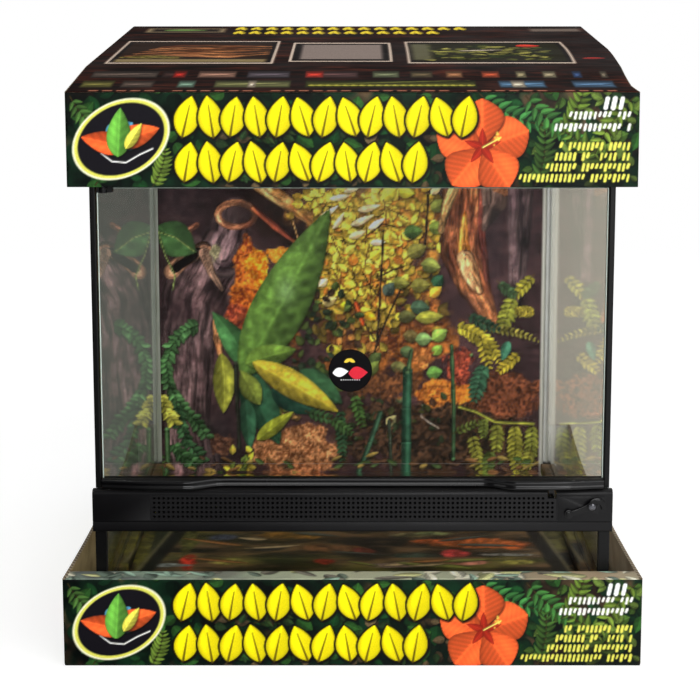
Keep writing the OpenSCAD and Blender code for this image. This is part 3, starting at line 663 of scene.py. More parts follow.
def thicket(sheet, low, high, count, sizes, colours, rng, round_leaf=0.7, shadow=0.45, veins=3):
    """Many small leaves at random, the darkest underneath and the brightest on top."""
    for k in range(count):
        pick = min(len(colours) - 1, int(len(colours) * k / count + rng.uniform(-0.5, 0.5)) % (len(colours) + 1))
        size = rng.uniform(*sizes)
        foot = (rng.uniform(low[0], high[0]), rng.uniform(low[1], high[1]))
        leaf(sheet, foot, rng.uniform(0, 2 * math.pi), size, size * rng.uniform(0.8, 1.15) * round_leaf,
             np.asarray(colours[max(pick, 0)]) * rng.uniform(0.82, 1.15), bend=rng.uniform(-0.15, 0.15),
             full=rng.uniform(0.6, 0.9), veins=veins, shadow=shadow, lit=rng.uniform(-0.25, 0.25))


backdrop_half, backdrop_low, backdrop_high, backdrop_y = 226.5, 30, 466, 227.5
white_margin, paper_thick = 12, 0.45


def forest(cell):
    """The backdrop's picture of a forest floor: x and z in mm, seen through the door."""
    sheet = Print((-backdrop_half, backdrop_low), (backdrop_half, backdrop_high), cell, (50, 42, 46))
    rng = np.random.default_rng(11)
    x, z = sheet.x, sheet.z
    grain = cloud(x / 8, z, 5.0, 1, contrast=2.0)
    blot = cloud(x, z, 60, 2, contrast=2.2)
    sheet.ink = blend(grain * 0.35 + 0.65 * blot, (34, 24, 27), (76, 56, 60))

    # Old trunk on the left with a broken hollow branch, a knot, a curl of bark and lichen
    limb(sheet,
         [(-131, 334), (-146, 300), (-162, 272), (-180, 236), (-188, 196), (-188, 150), (-190, 96), (-178, 20)],
         (38, 54, 80, 74, 64, 58, 52, 76), (66, 50, 54), (134, 112, 116), 3, ridge=3.4, lit=0.2)
    shade(sheet, (-200, 196), (24, 60), 0.5, (34, 27, 31))
    shade(sheet, (-150, 70), (20, 44), 0.75, (38, 36, 40))
    shade(sheet, (-206, 350), (60, 40), 0.5, (44, 38, 44))
    limb(sheet, [(-131, 332), (-136, 306), (-146, 284)], (38, 42, 50), (84, 66, 74), (142, 122, 128), 92, ridge=3.0)
    ring = [(-131 + 21 * math.cos(k * 0.45 + 0.4), 332 + 14 * math.sin(k * 0.45 + 0.4)) for k in range(14)]
    shade(sheet, (-131, 332), (17, 11), 0.9, (70, 58, 62))
    limb(sheet, ring, 8, (120, 70, 50), (206, 146, 108), 91, ridge=2.0, lit=0.1)
    limb(sheet, [(-176, 320), (-185, 315), (-185, 300), (-176, 291)], 7, (104, 62, 48), (190, 128, 100), 93,
         ridge=2.0)
    limb(sheet, [(-205, 267), (-190, 282), (-168, 293)], 18, (104, 74, 60), (186, 142, 112), 95, ridge=2.2)
    limb(sheet, [(-201, 270), (-174, 290)], 10, (18, 12, 12), (34, 24, 22), 97)
    limb(sheet, [(-168, 288), (-160, 266), (-148, 246)], (14, 9, 4), (104, 82, 72), (176, 146, 124), 99, ridge=2.0)
    moss(sheet, (-156, 284), (7, 12), (112, 112, 88), (178, 178, 140), 2.4, 23, thick=0.5)
    leaf(sheet, (-177, 289), 2.62, 52, 40, (58, 94, 54), bend=-0.1, full=1.1, veins=0, lit=0.1)
    cane(sheet, [(-221, 313), (-200, 306), (-179, 290)], 1.8, (124, 150, 86))
    cane(sheet, [(-219, 311), (-212, 286), (-201, 262), (-204, 246)], 1.8, (116, 140, 80))

    # Dark hole behind pale branches, and moss that glows orange below it
    shade(sheet, (-86, 326), (32, 24), 0.95, (28, 15, 12))
    shade(sheet, (-62, 304), (20, 15), 0.9, (26, 14, 11))
    shade(sheet, (-112, 352), (16, 20), 0.7, (30, 20, 20))
    limb(sheet, [(-112, 374), (-90, 357), (-64, 339), (-42, 322)], (20, 18, 15, 10), (164, 106, 56),
         (246, 212, 146), 15, ridge=2.0, lit=0.1)
    limb(sheet, [(-112, 340), (-88, 319), (-64, 300)], (6, 7, 4), (104, 42, 30), (190, 98, 62), 17)
    cane(sheet, [(-70, 334), (-66, 320), (-61, 303)], 1.8, (206, 160, 96))
    moss(sheet, (-124, 248), (18, 54), (128, 50, 26), (238, 138, 46), 3.2, 21, turn=-0.18, ragged=0.35)
    moss(sheet, (-131, 212), (13, 22), (96, 40, 30), (184, 92, 58), 3.0, 24, ragged=0.3)
    moss(sheet, (-106, 268), (13, 26), (196, 98, 20), (250, 180, 52), 2.6, 22, turn=0.15)
    moss(sheet, (-82, 287), (15, 8), (206, 112, 30), (250, 176, 64), 2.6, 28)
    limb(sheet, [(-156, 214), (-154, 190), (-150, 166)], (6, 10, 5), (140, 90, 56), (216, 160, 110), 30, ridge=2.0)

    # Bright foliage in the middle over a warm, sunlit ground, with pale petals and thin dark stems
    moss(sheet, (30, 290), (86, 96), (92, 58, 28), (206, 150, 62), 7, 35, ragged=0.5, thick=0.6)
    moss(sheet, (40, 190), (86, 50), (72, 40, 26), (170, 108, 50), 6, 36, ragged=0.6, thick=0.5)
    thicket(sheet, (-46, 190), (104, 370), 170, (9, 17), [(88, 78, 32), (118, 108, 40), (140, 122, 44)], rng)
    for centre, spread, count in (
            ((0, 346), 18, 50), ((36, 346), 18, 70), ((-18, 300), 13, 50), ((14, 290), 17, 70),
            ((44, 300), 16, 60), ((-16, 264), 12, 46), ((24, 262), 16, 46), ((-24, 238), 12, 40),
            ((10, 232), 15, 34), ((70, 336), 12, 26), ((-40, 346), 10, 30), ((26, 214), 12, 22)):
        for k in range(count):
            spot = rng.normal(centre, spread)
            tone = blend(np.array(k / count), (150, 118, 40), (236, 222, 84)) * rng.uniform(0.82, 1.1)
            if rng.random() < 0.12:
                tone = np.array((216, 140, 52)) * rng.uniform(0.8, 1.1)
            size = rng.uniform(7, 15)
            leaf(sheet, spot, rng.uniform(0, 2 * math.pi), size, size * rng.uniform(0.5, 0.9), tone,
                 bend=rng.uniform(-0.2, 0.2), full=rng.uniform(0.6, 0.95), veins=2, shadow=0.4,
                 lit=rng.uniform(-0.3, 0.3))
    thicket(sheet, (-20, 172), (40, 214), 30, (8, 15), [(120, 84, 46), (168, 120, 60), (150, 140, 56)], rng)
    for k in range(22):
        foot = (rng.uniform(-36, 90), rng.uniform(180, 330))
        cane(sheet, arc(foot, rng.uniform(0.2, 2.6), rng.uniform(16, 46), rng.uniform(-0.6, 0.6), 6), 1.1,
             (98, 58, 34))
    for px, pz, turn, length in (
            (-38, 328, 0.5, 34), (-22, 316, 0.9, 28), (-2, 320, 0.35, 36), (6, 337, 0.15, 32), (18, 316, 0.5, 28),
            (-26, 350, 0.1, 30), (-4, 306, 0.3, 26), (20, 300, 0.0, 22), (-10, 358, 0.3, 30), (88, 356, 0.6, 20)):
        leaf(sheet, (px, pz), turn, length * 0.8, rng.uniform(6, 9),
             rng.choice([(232, 218, 176), (216, 200, 150), (240, 230, 204)]), bend=0.08, veins=0, shadow=0.4,
             lit=0.12)
    for px, pz, size, tone in (
            (-38, 250, 13, (228, 222, 176)), (-34, 230, 17, (226, 214, 140)), (-14, 228, 15, (216, 200, 46)),
            (14, 218, 15, (232, 186, 44)), (-8, 288, 14, (232, 220, 90)), (20, 282, 15, (230, 214, 70)),
            (-30, 176, 17, (178, 176, 60)), (52, 358, 18, (204, 208, 60)), (34, 350, 20, (214, 214, 66))):
        leaf(sheet, (px, pz), rng.uniform(-0.5, 0.9), size, size * 0.75, tone, veins=2)
    shade(sheet, (14, 352), (70, 26), 0.22, (252, 236, 150))
    shade(sheet, (-4, 214), (44, 26), 0.3, (48, 34, 22))
    for points, width in (
            ([(35, 314), (33, 270), (31, 236), (28, 184)], 2.4), ([(85, 354), (84, 326), (82, 294)], 2.6),
            ([(28, 184), (40, 214), (55, 247)], 2.2), ([(26, 186), (14, 206), (2, 234)], 1.9),
            ([(33, 262), (44, 268), (58, 272)], 1.6), ([(31, 236), (20, 250), (12, 266)], 1.4),
            ([(48, 318), (34, 322), (22, 312)], 1.4), ([(28, 184), (22, 160), (24, 132)], 2.2)):
        cane(sheet, points, width, (46, 36, 30))
    cane(sheet, [(4, 230), (8, 218), (12, 206)], 4.5, (238, 96, 44))
    for px, pz, size, wide, tone in (
            (58, 311, 21, 16, (70, 102, 52)), (86, 318, 20, 15, (116, 140, 60)),
            (88, 338, 20, 15, (118, 130, 60)), (92, 250, 16, 14, (42, 86, 62)), (62, 286, 24, 17, (124, 126, 60)),
            (78, 276, 22, 18, (112, 126, 62)), (44, 254, 21, 15, (116, 122, 56)),
            (66, 250, 22, 17, (122, 124, 58)), (36, 240, 17, 15, (62, 80, 74)), (66, 226, 22, 17, (60, 88, 70)),
            (52, 214, 20, 15, (82, 88, 52)), (58, 194, 20, 15, (96, 90, 54)), (72, 213, 31, 15, (144, 152, 62)),
            (88, 238, 17, 12, (216, 170, 62)), (72, 188, 19, 16, (110, 146, 92)),
            (91, 188, 20, 16, (130, 168, 78)), (92, 170, 15, 12, (122, 164, 70)),
            (114, 168, 16, 12, (178, 188, 58)), (126, 170, 12, 9, (84, 120, 70)),
            (85, 148, 18, 16, (88, 136, 66)), (54, 176, 20, 14, (70, 92, 60)), (44, 158, 20, 14, (98, 104, 62)),
            (20, 160, 18, 13, (62, 78, 44)), (16, 146, 22, 14, (96, 116, 56)), (48, 112, 20, 14, (62, 92, 64))):
        leaf(sheet, (px, pz), rng.uniform(-0.3, 0.9), size, wide, tone, full=0.8, veins=3, shadow=0.5)

    # Warm trunk on the right, lit from behind, and the dark hollow beside it
    limb(sheet, [(128, 374), (124, 330), (124, 290), (138, 250), (156, 212)], (50, 50, 50, 38, 20), (104, 56, 38),
         (206, 136, 86), 9, ridge=2.6, lit=-0.3)
    limb(sheet, [(127, 334), (125, 304), (128, 278)], (4, 12, 16), (214, 122, 40), (250, 186, 88), 11, ridge=2.2)
    limb(sheet, [(128, 282), (134, 264), (144, 244)], (20, 20, 9), (186, 132, 84), (236, 192, 142), 12, ridge=2.4)
    limb(sheet, [(118, 372), (106, 342), (100, 314)], (13, 11, 7), (160, 112, 60), (240, 204, 136), 13, ridge=2.0)
    limb(sheet, [(147, 374), (145, 322), (153, 258)], (8, 8, 7), (78, 36, 32), (144, 78, 62), 14)
    limb(sheet, [(160, 376), (160, 346), (149, 316)], (34, 28, 6), (92, 74, 68), (138, 118, 108), 16, ridge=4.0)
    moss(sheet, (176, 362), (14, 9), (104, 66, 46), (160, 110, 76), 3.0, 18)
    limb(sheet, [(190, 374), (188, 290), (184, 226)], (30, 24, 16), (60, 48, 54), (100, 84, 88), 19, ridge=4.0)
    shade(sheet, (160, 290), (9, 50), 0.5, (40, 32, 38))
    shade(sheet, (122, 226), (20, 14), 0.8, (48, 36, 40))

    # Moss, litter and soil on the ground
    moss(sheet, (100, 74), (124, 54), (30, 24, 20), (84, 62, 44), 4.0, 29, ragged=0.3, thick=0.6)
    moss(sheet, (176, 124), (46, 27), (62, 36, 26), (128, 78, 50), 2.8, 27, ragged=0.3)
    moss(sheet, (40, 132), (40, 18), (66, 44, 32), (126, 84, 50), 3.0, 37)
    moss(sheet, (122, 150), (17, 24), (84, 36, 30), (164, 80, 56), 2.6, 38)
    moss(sheet, (96, 126), (25, 18), (128, 70, 30), (214, 142, 58), 2.6, 25, ragged=0.3)
    moss(sheet, (131, 124), (15, 13), (150, 82, 30), (224, 140, 52), 2.4, 26, turn=0.4)
    moss(sheet, (78, 166), (13, 10), (136, 82, 44), (206, 138, 72), 2.4, 39)
    cane(sheet, [(80, 111), (79, 98), (86, 92), (99, 84)], 1.6, (200, 194, 180))
    leaf(sheet, (40, 87), 0.9, 15, 12, (158, 160, 112), veins=2)
    moss(sheet, (-150, 66), (14, 12), (58, 40, 34), (118, 84, 66), 3.0, 33)
    moss(sheet, (-66, 54), (52, 32), (104, 66, 40), (200, 146, 100), 2.8, 41, ragged=0.2)
    moss(sheet, (-58, 76), (30, 16), (122, 78, 48), (212, 156, 108), 2.4, 43, ragged=0.3)
    thicket(sheet, (-104, 94), (-66, 120), 34, (6, 12), [(96, 76, 44), (134, 110, 66), (104, 118, 52)], rng)

    thicket(sheet, (-64, 120), (4, 250), 90, (6, 13), [(44, 60, 34), (66, 84, 40), (58, 44, 34), (34, 46, 34)], rng)
    thicket(sheet, (0, 60), (110, 120), 60, (5, 11), [(40, 52, 34), (60, 66, 36), (70, 50, 36)], rng)

    # Broad leaves that grow from one stem on the left
    green, deep = (80, 116, 53), (38, 74, 54)
    leaf(sheet, (-122, 156), -1.28, 98, 40, deep, bend=0.1, full=0.9, shadow=0.6)
    leaf(sheet, (-60, 152), -0.78, 62, 32, (46, 82, 56), bend=0.1, shadow=0.5)
    leaf(sheet, (-92, 130), -0.5, 60, 30, (34, 70, 58), shadow=0.4)
    leaf(sheet, (-116, 152), 1.98, 80, 30, (58, 104, 62), bend=0.16, veins=4, shadow=0.5)
    leaf(sheet, (-126, 146), 1.06, 216, 62, green, bend=0.03, full=0.78, veins=9, lit=0.14, shadow=0.6)
    shade(sheet, (-76, 244), (11, 16), 0.35, (140, 176, 150))
    leaf(sheet, (-122, 160), 0.36, 60, 28, (88, 120, 52), bend=-0.08, veins=5, shadow=0.4)
    leaf(sheet, (-114, 162), -0.52, 114, 32, (170, 160, 56), bend=-0.02, full=0.85, veins=8, lit=0.22, shadow=0.7)
    leaf(sheet, (-150, 172), -1.42, 70, 26, (124, 132, 52), bend=-0.12, full=0.9, shadow=0.6)
    leaf(sheet, (-128, 152), -1.08, 46, 24, (108, 126, 54), full=1.1, shadow=0.5)
    leaf(sheet, (-122, 118), -1.5, 60, 20, (44, 84, 62), shadow=0.5)
    cane(sheet, [(-133, 160), (-133, 130), (-131, 96), (-130, 60)], 4.6, (40, 46, 38), joints=60)
    leaf(sheet, (-110, 70), 0.67, 54, 17, (128, 142, 48), shadow=0.5)

    # Vines on the left, canes and low ferns
    for stem, tone in (
            ([(-176, 205), (-192, 198), (-206, 182), (-213, 160), (-211, 136), (-200, 114), (-182, 94), (-166, 72)],
            (56, 92, 56)), ([(-203, 112), (-198, 90), (-190, 66), (-172, 44)], (46, 78, 50)),
            ([(-220, 124), (-213, 104), (-205, 90)], (146, 150, 64)), ([(-206, 64), (-196, 50), (-178, 40)],
            (50, 84, 50))):
        cane(sheet, stem, 2.4, np.array(tone) * 0.9)
        for (ax, az), (bx, bz) in zip(stem[:-1], stem[1:]):
            for k in range(8):
                turn = math.atan2(bz - az, bx - ax) + (1.0 if k % 2 else -1.0) + rng.uniform(-0.25, 0.25)
                foot = (ax + (bx - ax) * k / 8, az + (bz - az) * k / 8)
                leaf(sheet, foot, turn, rng.uniform(8, 12), 6.5, np.array(tone) * rng.uniform(0.7, 1.35), full=0.85,
                     veins=0, shadow=0.5)
    for points, width, tone in (
            ([(62, 26), (62, 100), (63, 152)], 11, (48, 94, 72)), ([(63, 150), (67, 174)], 5, (66, 98, 66)),
            ([(6, 28), (20, 66), (32, 102)], 6, (56, 92, 70)),
            ([(116, 48), (116, 110), (113, 180)], 5, (56, 88, 58)), ([(45, 26), (42, 92)], 4, (54, 68, 56)),
            ([(-213, 82), (-212, 30)], 6, (66, 100, 64))):
        cane(sheet, points, width, tone, joints=40)
    light, middle, cool = (196, 190, 66), (146, 158, 62), (60, 108, 82)
    for foot, turn, length, reach, colour, bend in (
            ((207, 264), 3.95, 36, 10, (168, 170, 60), 0.1), ((184, 240), 4.35, 42, 13, middle, 0.1),
            ((209, 220), 3.1, 22, 9, (186, 178, 66), 0.0), ((116, 203), -0.22, 66, 13, light, -0.95),
            ((146, 192), -1.35, 38, 9, (184, 178, 60), 0.1), ((152, 200), 0.0, 62, 7, (150, 150, 66), -0.5),
            ((193, 172), 3.75, 32, 10, (194, 184, 60), 0.2), ((152, 162), 4.4, 46, 13, cool, 0.1),
            ((166, 92), 4.7, 34, 11, middle, 0.0), ((186, 90), 4.75, 56, 12, (160, 166, 62), 0.0),
            ((206, 90), 4.7, 48, 11, (134, 146, 60), 0.0), ((136, 78), 5.0, 46, 10, (156, 164, 66), -0.1),
            ((152, 98), 4.6, 24, 8, (110, 130, 56), 0.1), ((116, 78), 0.42, 32, 7, (112, 136, 60), 0.0),
            ((206, 60), 4.4, 30, 10, (150, 156, 62), 0.1), ((160, 60), 4.5, 30, 10, (96, 120, 54), 0.1),
            ((2, 126), 4.9, 40, 9, (78, 122, 58), 0.1), ((-14, 108), 4.75, 66, 9, (50, 88, 58), 0.0),
            ((-54, 104), 5.9, 34, 9, (62, 100, 60), 0.2), ((-26, 96), 5.6, 30, 9, (72, 112, 60), 0.1),
            ((164, 256), 5.5, 26, 9, (62, 90, 60), 0.2), ((130, 218), 5.7, 40, 10, (52, 86, 64), 0.3)):
        frond(sheet, foot, turn, length, reach, np.array(colour) * 0.76, rng, bend=bend,
              pairs=max(6, int(length / 5.5)), slim=0.62)
    cane(sheet, [(122, 109), (142, 103), (164, 91), (208, 89)], 3.2, (150, 162, 66))
    leaf(sheet, (178, 186), 4.4, 24, 12, (56, 108, 88), veins=3)
    thicket(sheet, (-140, 32), (-116, 56), 14, (7, 13), [(206, 192, 64), (150, 142, 56), (96, 120, 52)], rng)
    for k in range(60):
        spot = (rng.uniform(-220, 220), rng.uniform(32, 50))
        leaf(sheet, spot, rng.uniform(-0.6, 0.6) + math.pi * (k % 2), rng.uniform(8, 16), rng.uniform(3, 6),
             [(104, 78, 50), (80, 60, 44), (124, 112, 60), (60, 84, 46)][k % 4], veins=0)

    # The ink is painted brighter than its print, as painted light for what two panes of glass and the cap's shade
    # take from it; the paper shows white at the right edge
    sheet.ink *= (0.78 + 0.42 * cloud(x, z, 8, 121, contrast=1.8))[..., None] * (1.32, 1.22, 1.17)
    sheet.lay(..., (x - backdrop_half + white_margin) / 0.6, (226, 222, 212))
    return sheet


kraft, tree, shader = finish("kraft_liner", Roughness=0.85, Specular_IOR_Level=0.2)
place = here(tree)
pulp = add(tree, "TexNoise", {"Vector": place, "Scale": 60.0, "Detail": 8.0, "Roughness": 0.7})
fibre = noise(tree, place, 1500.0, 3.0)
specks = ranged(tree, fibre, 0.62, 0.72, 0.0, 0.5)
brown = mix_colour(tree, pulp.outputs[0], (0.20, 0.135, 0.06, 1), (0.36, 0.26, 0.13, 1))
feed(shader, "Base Color", mix_colour(tree, specks, brown, (0.10, 0.06, 0.03, 1)))
relief(tree, shader, fibre, 0.08 * mm)


def flute_wave(tree, place, way, pitch):
    """The wave of a corrugated board's flutes along a direction, from -1 to 1."""
    reach = add(tree, "VectorMath", {0: place, 1: way}, operation="DOT_PRODUCT").outputs["Value"]
    return math_node(tree, "SINE", math_node(tree, "MULTIPLY", reach, 2 * math.pi / pitch))


def printed(name, gloss, flutes=None, shine_level=0.08):
    """Varnished ink on paper; on board the flutes beneath show as faint waves across a direction."""
    made, tree, shader = finish(name, Specular_IOR_Level=shine_level)
    ink = add(tree, "VertexColor", layer_name="ink").outputs["Color"]
    place = here(tree)
    screen = noise(tree, place, 1300.0)
    faint = ranged(tree, screen, 0.3, 0.7, 0.90, 1.08)
    feed(shader, "Base Color", mix_colour(tree, 1.0, ink, faint, "MULTIPLY"))
    rub = noise(tree, place, 18.0, 5.0)
    feed(shader, "Roughness", ranged(tree, rub, 0.3, 0.7, gloss - 0.06, gloss + 0.10))
    height = screen
    if flutes:
        height = math_node(tree, "MULTIPLY_ADD", flute_wave(tree, place, flutes, 4.2 * mm), 0.5, height)
    relief(tree, shader, height, 0.03 * mm, 0.4)
    return made


def sheet_of(name, picture, thick, seat, finishes, node, folds="", solid=False):
    """A painted sheet or board panel. Its dots are a grid; folds names the edges (left, right, low,
    high) where it is rounded and mitred to the next panel, and seat puts its dots in the object."""
    left, right, low, high = (*picture.across[[0, -1]], *picture.up[[0, -1]])
    columns, rows = len(picture.across) - 1, len(picture.up) - 1
    mesh = bmesh.new()
    bmesh.ops.create_grid(mesh, x_segments=columns, y_segments=rows, size=1)
    rim = [edge for edge in mesh.edges if edge.is_boundary]
    for face in mesh.faces:
        face.smooth = True
    for edge in rim:
        edge.smooth = False
    if solid:
        bmesh.ops.solidify(mesh, geom=mesh.faces[:], thickness=1)
    else:
        walls = bmesh.ops.extrude_edge_only(mesh, edges=rim)["geom"]
        loop = [edge for edge in walls if isinstance(edge, bmesh.types.BMEdge) and edge.is_boundary]
        bmesh.ops.translate(mesh, vec=(0, 0, -1), verts=list({v for edge in loop for v in edge.verts}))
        bmesh.ops.edgeloop_fill(mesh, edges=loop)
    bmesh.ops.recalc_face_normals(mesh, faces=mesh.faces)
    for face in mesh.faces:
        deep = sum(v.co.z < -0.5 for v in face.verts)
        face.material_index = 0 if not deep else 1 if deep == len(face.verts) else 2
    data = bpy.data.meshes.new(name)
    mesh.to_mesh(data)
    mesh.free()

    spots = np.empty(3 * len(data.vertices), dtype=np.float32)
    data.vertices.foreach_get("co", spots)
    u, v, w = spots.reshape(-1, 3).T.astype(float)
    column = np.rint((u + 1) / 2 * columns).astype(int)
    row = np.rint((v + 1) / 2 * rows).astype(int)
    share = np.clip(picture.ink[row, column] / 255, 0, 1)
    ink = np.ones((len(u), 4), dtype=np.float32)
    ink[:, :3] = np.where(share > 0.04045, ((share + 0.055) / 1.055) ** 2.4, share / 12.92)
    data.color_attributes.new("ink", "FLOAT_COLOR", "POINT").data.foreach_set("color", ink.ravel())

    u, v, behind = picture.x[row, column], picture.z[row, column], w < -0.5
    w = np.where(behind, -thick, 0.0)
    for edge, place, line, inward in (
            ("left", u, left, 1), ("right", u, right, -1), ("low", v, low, 1), ("high", v, high, -1)):
        if edge in folds:
            gap = (place - line) * inward
            angle = np.clip(1 - gap / fold_round, 0, 1) * math.pi / 4
            bent = fold_round * (1 - np.sin(angle))
            place += inward * np.where(behind, np.where(gap < 1e-6, thick, 0), np.where(angle > 0, bent - gap, 0))
            w = np.where(behind, w, w - fold_round * (1 - np.cos(angle)))
    spots = np.stack(seat(u, v, w), axis=1).astype(np.float32) * mm
    data.vertices.foreach_set("co", spots.ravel())
    for made in finishes:
        data.materials.append(made)
    piece = bpy.data.objects.new(name, data)
    scene.collection.objects.link(piece)
    if node:
        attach(piece, body_of(node))
        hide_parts(node)
    return piece


fold_round = 2.0
plain_paper, tree, shader = finish("plain_paper", Base_Color=(0.72, 0.71, 0.67, 1), Roughness=0.8)
fibre = noise(tree, here(tree), 500.0, 5.0)
feed(shader, "Base Color", mix_colour(tree, fibre, (0.62, 0.61, 0.57, 1), (0.80, 0.79, 0.75, 1)))
gloss_print = printed("backdrop_print", 0.42)
woods = forest((1.45, 1.45))
printed_paper = [gloss_print, plain_paper, plain_paper]
sheet_of("backdrop_picture", woods, paper_thick, lambda u, v, w: (u, backdrop_y - w, v), printed_paper,
         "backdrop_sheet")


# Floor card: a printed card lies on the floor pane for the shop. Its rear edge is turned up and its side
# edges are folded out over the base's lip. Its leaves and fruit look blurred, being seen almost edge on.
def floor_picture(low, high, cell):
    """The card's print: x from side to side, z from front to back, drawn long and soft."""
    sheet = Print(low, high, cell, (50, 42, 34))
    rng = np.random.default_rng(31)
    tone = cloud(sheet.x / 3, sheet.z, 14, 61, contrast=2.6)
    warm = cloud(sheet.x / 3, sheet.z, 30, 62, contrast=2.6)
    sheet.ink = blend(tone, (26, 24, 20), (120, 92, 62))
    sheet.lay(..., (warm - 0.5) * 1.6, blend(tone, (38, 44, 24), (116, 112, 54)))
    for x, z, wide, deep, colour in (
            (-206, -40, 12, 110, (96, 90, 38)), (-196, -10, 8, 90, (48, 50, 30)),
            (-166, -20, 9, 60, (96, 94, 44)), (-163, -82, 13, 24, (236, 64, 42)),
            (-28, -80, 14, 10, (214, 54, 40)), (-124, -82, 22, 12, (190, 180, 86)),
            (-176, -90, 22, 5, (140, 146, 140)), (-128, -8, 20, 12, (92, 98, 120)),
            (-66, -4, 34, 12, (148, 104, 44)), (-84, -44, 26, 10, (44, 40, 42)),
            (-24, -40, 40, 14, (122, 82, 52)), (10, -50, 14, 12, (126, 58, 46)), (54, -2, 26, 8, (132, 122, 82)),
            (80, 2, 22, 7, (150, 160, 100)), (116, -28, 62, 17, (222, 114, 50)),
            (164, -34, 18, 16, (236, 114, 46)), (78, -22, 24, 8, (226, 110, 52)),
            (102, -54, 15, 15, (232, 76, 70)), (146, -60, 34, 5, (172, 170, 160)),
            (114, -82, 24, 8, (210, 134, 112)), (163, -82, 20, 8, (178, 168, 78)), (60, -62, 30, 8, (54, 66, 54)),
            (44, -90, 40, 8, (140, 116, 104)), (203, -76, 14, 20, (26, 24, 26)), (206, -10, 14, 46, (92, 86, 42)),
            (-90, 90, 60, 40, (90, 110, 44)), (60, 110, 70, 40, (120, 84, 40)),
            (-184, 204, 26, 14, (86, 124, 66)), (-68, 204, 54, 16, (176, 124, 80)),
            (-126, 206, 14, 12, (210, 196, 70)), (20, 204, 30, 14, (70, 88, 52)),
            (96, 204, 40, 14, (110, 78, 56)), (170, 204, 38, 16, (160, 168, 70))):
        moss(sheet, (x, z), (wide, deep), np.array(colour) * 0.7, np.array(colour) * 1.1, 6, int(abs(x) + wide),
             ragged=0.3, thick=0.5)
    for side, back, front in ((-1, (-176, 22), (-200, -108)), (1, (184, 22), (202, -108))):
        for shift, fat, colour in ((0, 13, (12, 10, 9)), (side * 9, 3.5, (116, 108, 78))):
            stroke(sheet, [np.array(front) + (shift, 0), np.array(back) + (shift, 0)], fat, colour, 5)
    for k in range(40):
        spot = (rng.uniform(-110, 110), rng.uniform(-100, 200))
        leaf(sheet, spot, rng.uniform(-0.4, 0.4) + math.pi * (k % 2), rng.uniform(30, 70), rng.uniform(5, 11),
             [(116, 122, 58), (150, 100, 56), (70, 76, 70), (170, 146, 108)][k % 4], veins=0, soft=3, shadow=0.3)
    return sheet


card_half, card_front, card_top, lip_top, card_edge, side_fold = 215.5, -216, 34.95, 45, 10.5, 11
rear_view, steepness = 188, 0.3


def carry_on(sheet, rows, heights, strength):
    """Prints the backdrop's picture from some heights over rows of the card."""
    found = np.searchsorted(woods.up, heights)
    sheet.ink[rows] = woods.ink[np.ix_(found, np.searchsorted(woods.across, sheet.across))] * strength


def card_piece(name, art, seat):
    sheet_of(name, art, paper_thick, seat, printed_paper, "floor_card")


# The part that shows over the door rail carries on the backdrop's picture, mirrored on the floor as a painted
# reflection of it
art = floor_picture((-card_half, card_front), (card_half, card_half), (2.0, 2.0))
seen = art.up > rear_view
carry_on(art, seen, backdrop_low + 1 + (card_half - art.up[seen]) * steepness, 1.1)
card_piece("floor_card_print", art, lambda u, v, w: (u, v, card_top + w))
art = Print((-card_half, card_half - card_edge), (card_half, card_half), (1.45, 1.45), (50, 42, 34))
carry_on(art, slice(None), art.up - card_half + lip_top - 4, 0.95)
card_piece("floor_card_rear_edge", art, lambda u, v, w: (u, card_half - w, v - card_half + lip_top))
for side, name in ((1, "right"), (-1, "left")):
    middle = side * (card_half - side_fold)
    art = floor_picture((middle - side_fold, card_front), (middle + side_fold, -card_front), (2.0, 2.0))
    art.ink = art.ink.transpose(1, 0, 2)[::side, ::-side]
    art.across, art.up = art.up, np.linspace(lip_top - card_edge, lip_top + card_edge, art.ink.shape[0])
    art.x, art.z = np.meshgrid(art.across, art.up)
    card_piece("floor_card_%s_edge" % name, art,
               lambda u, v, w: (side * (card_half + np.maximum(v - lip_top, 0) - w * (v <= lip_top)), -side * u,
                                np.minimum(v, lip_top) + w * (v > lip_top)))


# Carton board: both cartons are single-wall corrugated board with a printed sheet laminated outside and
# a brown liner inside. Each panel is folded to the next with a soft corner, and cut edges show flutes.
board = 3.0
cut_edge, tree, shader = finish("cut_board_edge", Roughness=0.9, Specular_IOR_Level=0.1)
place = here(tree)
ripple = ranged(tree, flute_wave(tree, place, (1, 1, 0), 6.5 * mm), -1.0, 1.0)
pulp = noise(tree, place, 700.0, 4.0)
pale = mix_colour(tree, pulp, (0.30, 0.24, 0.17, 1), (0.52, 0.45, 0.34, 1))
# The hollows between the flutes are painted dark, as painted shade; the pale bands are the paper's edges.
feed(shader, "Base Color", mix_colour(tree, ripple, (0.14, 0.10, 0.06, 1), pale))
relief(tree, shader, ripple, 0.4 * mm, 0.6)
wall_print = printed("carton_wall_print", 0.40, (1, 1, 0))
top_print = printed("carton_top_print", 0.45, (1, 0, 0), 0.02)


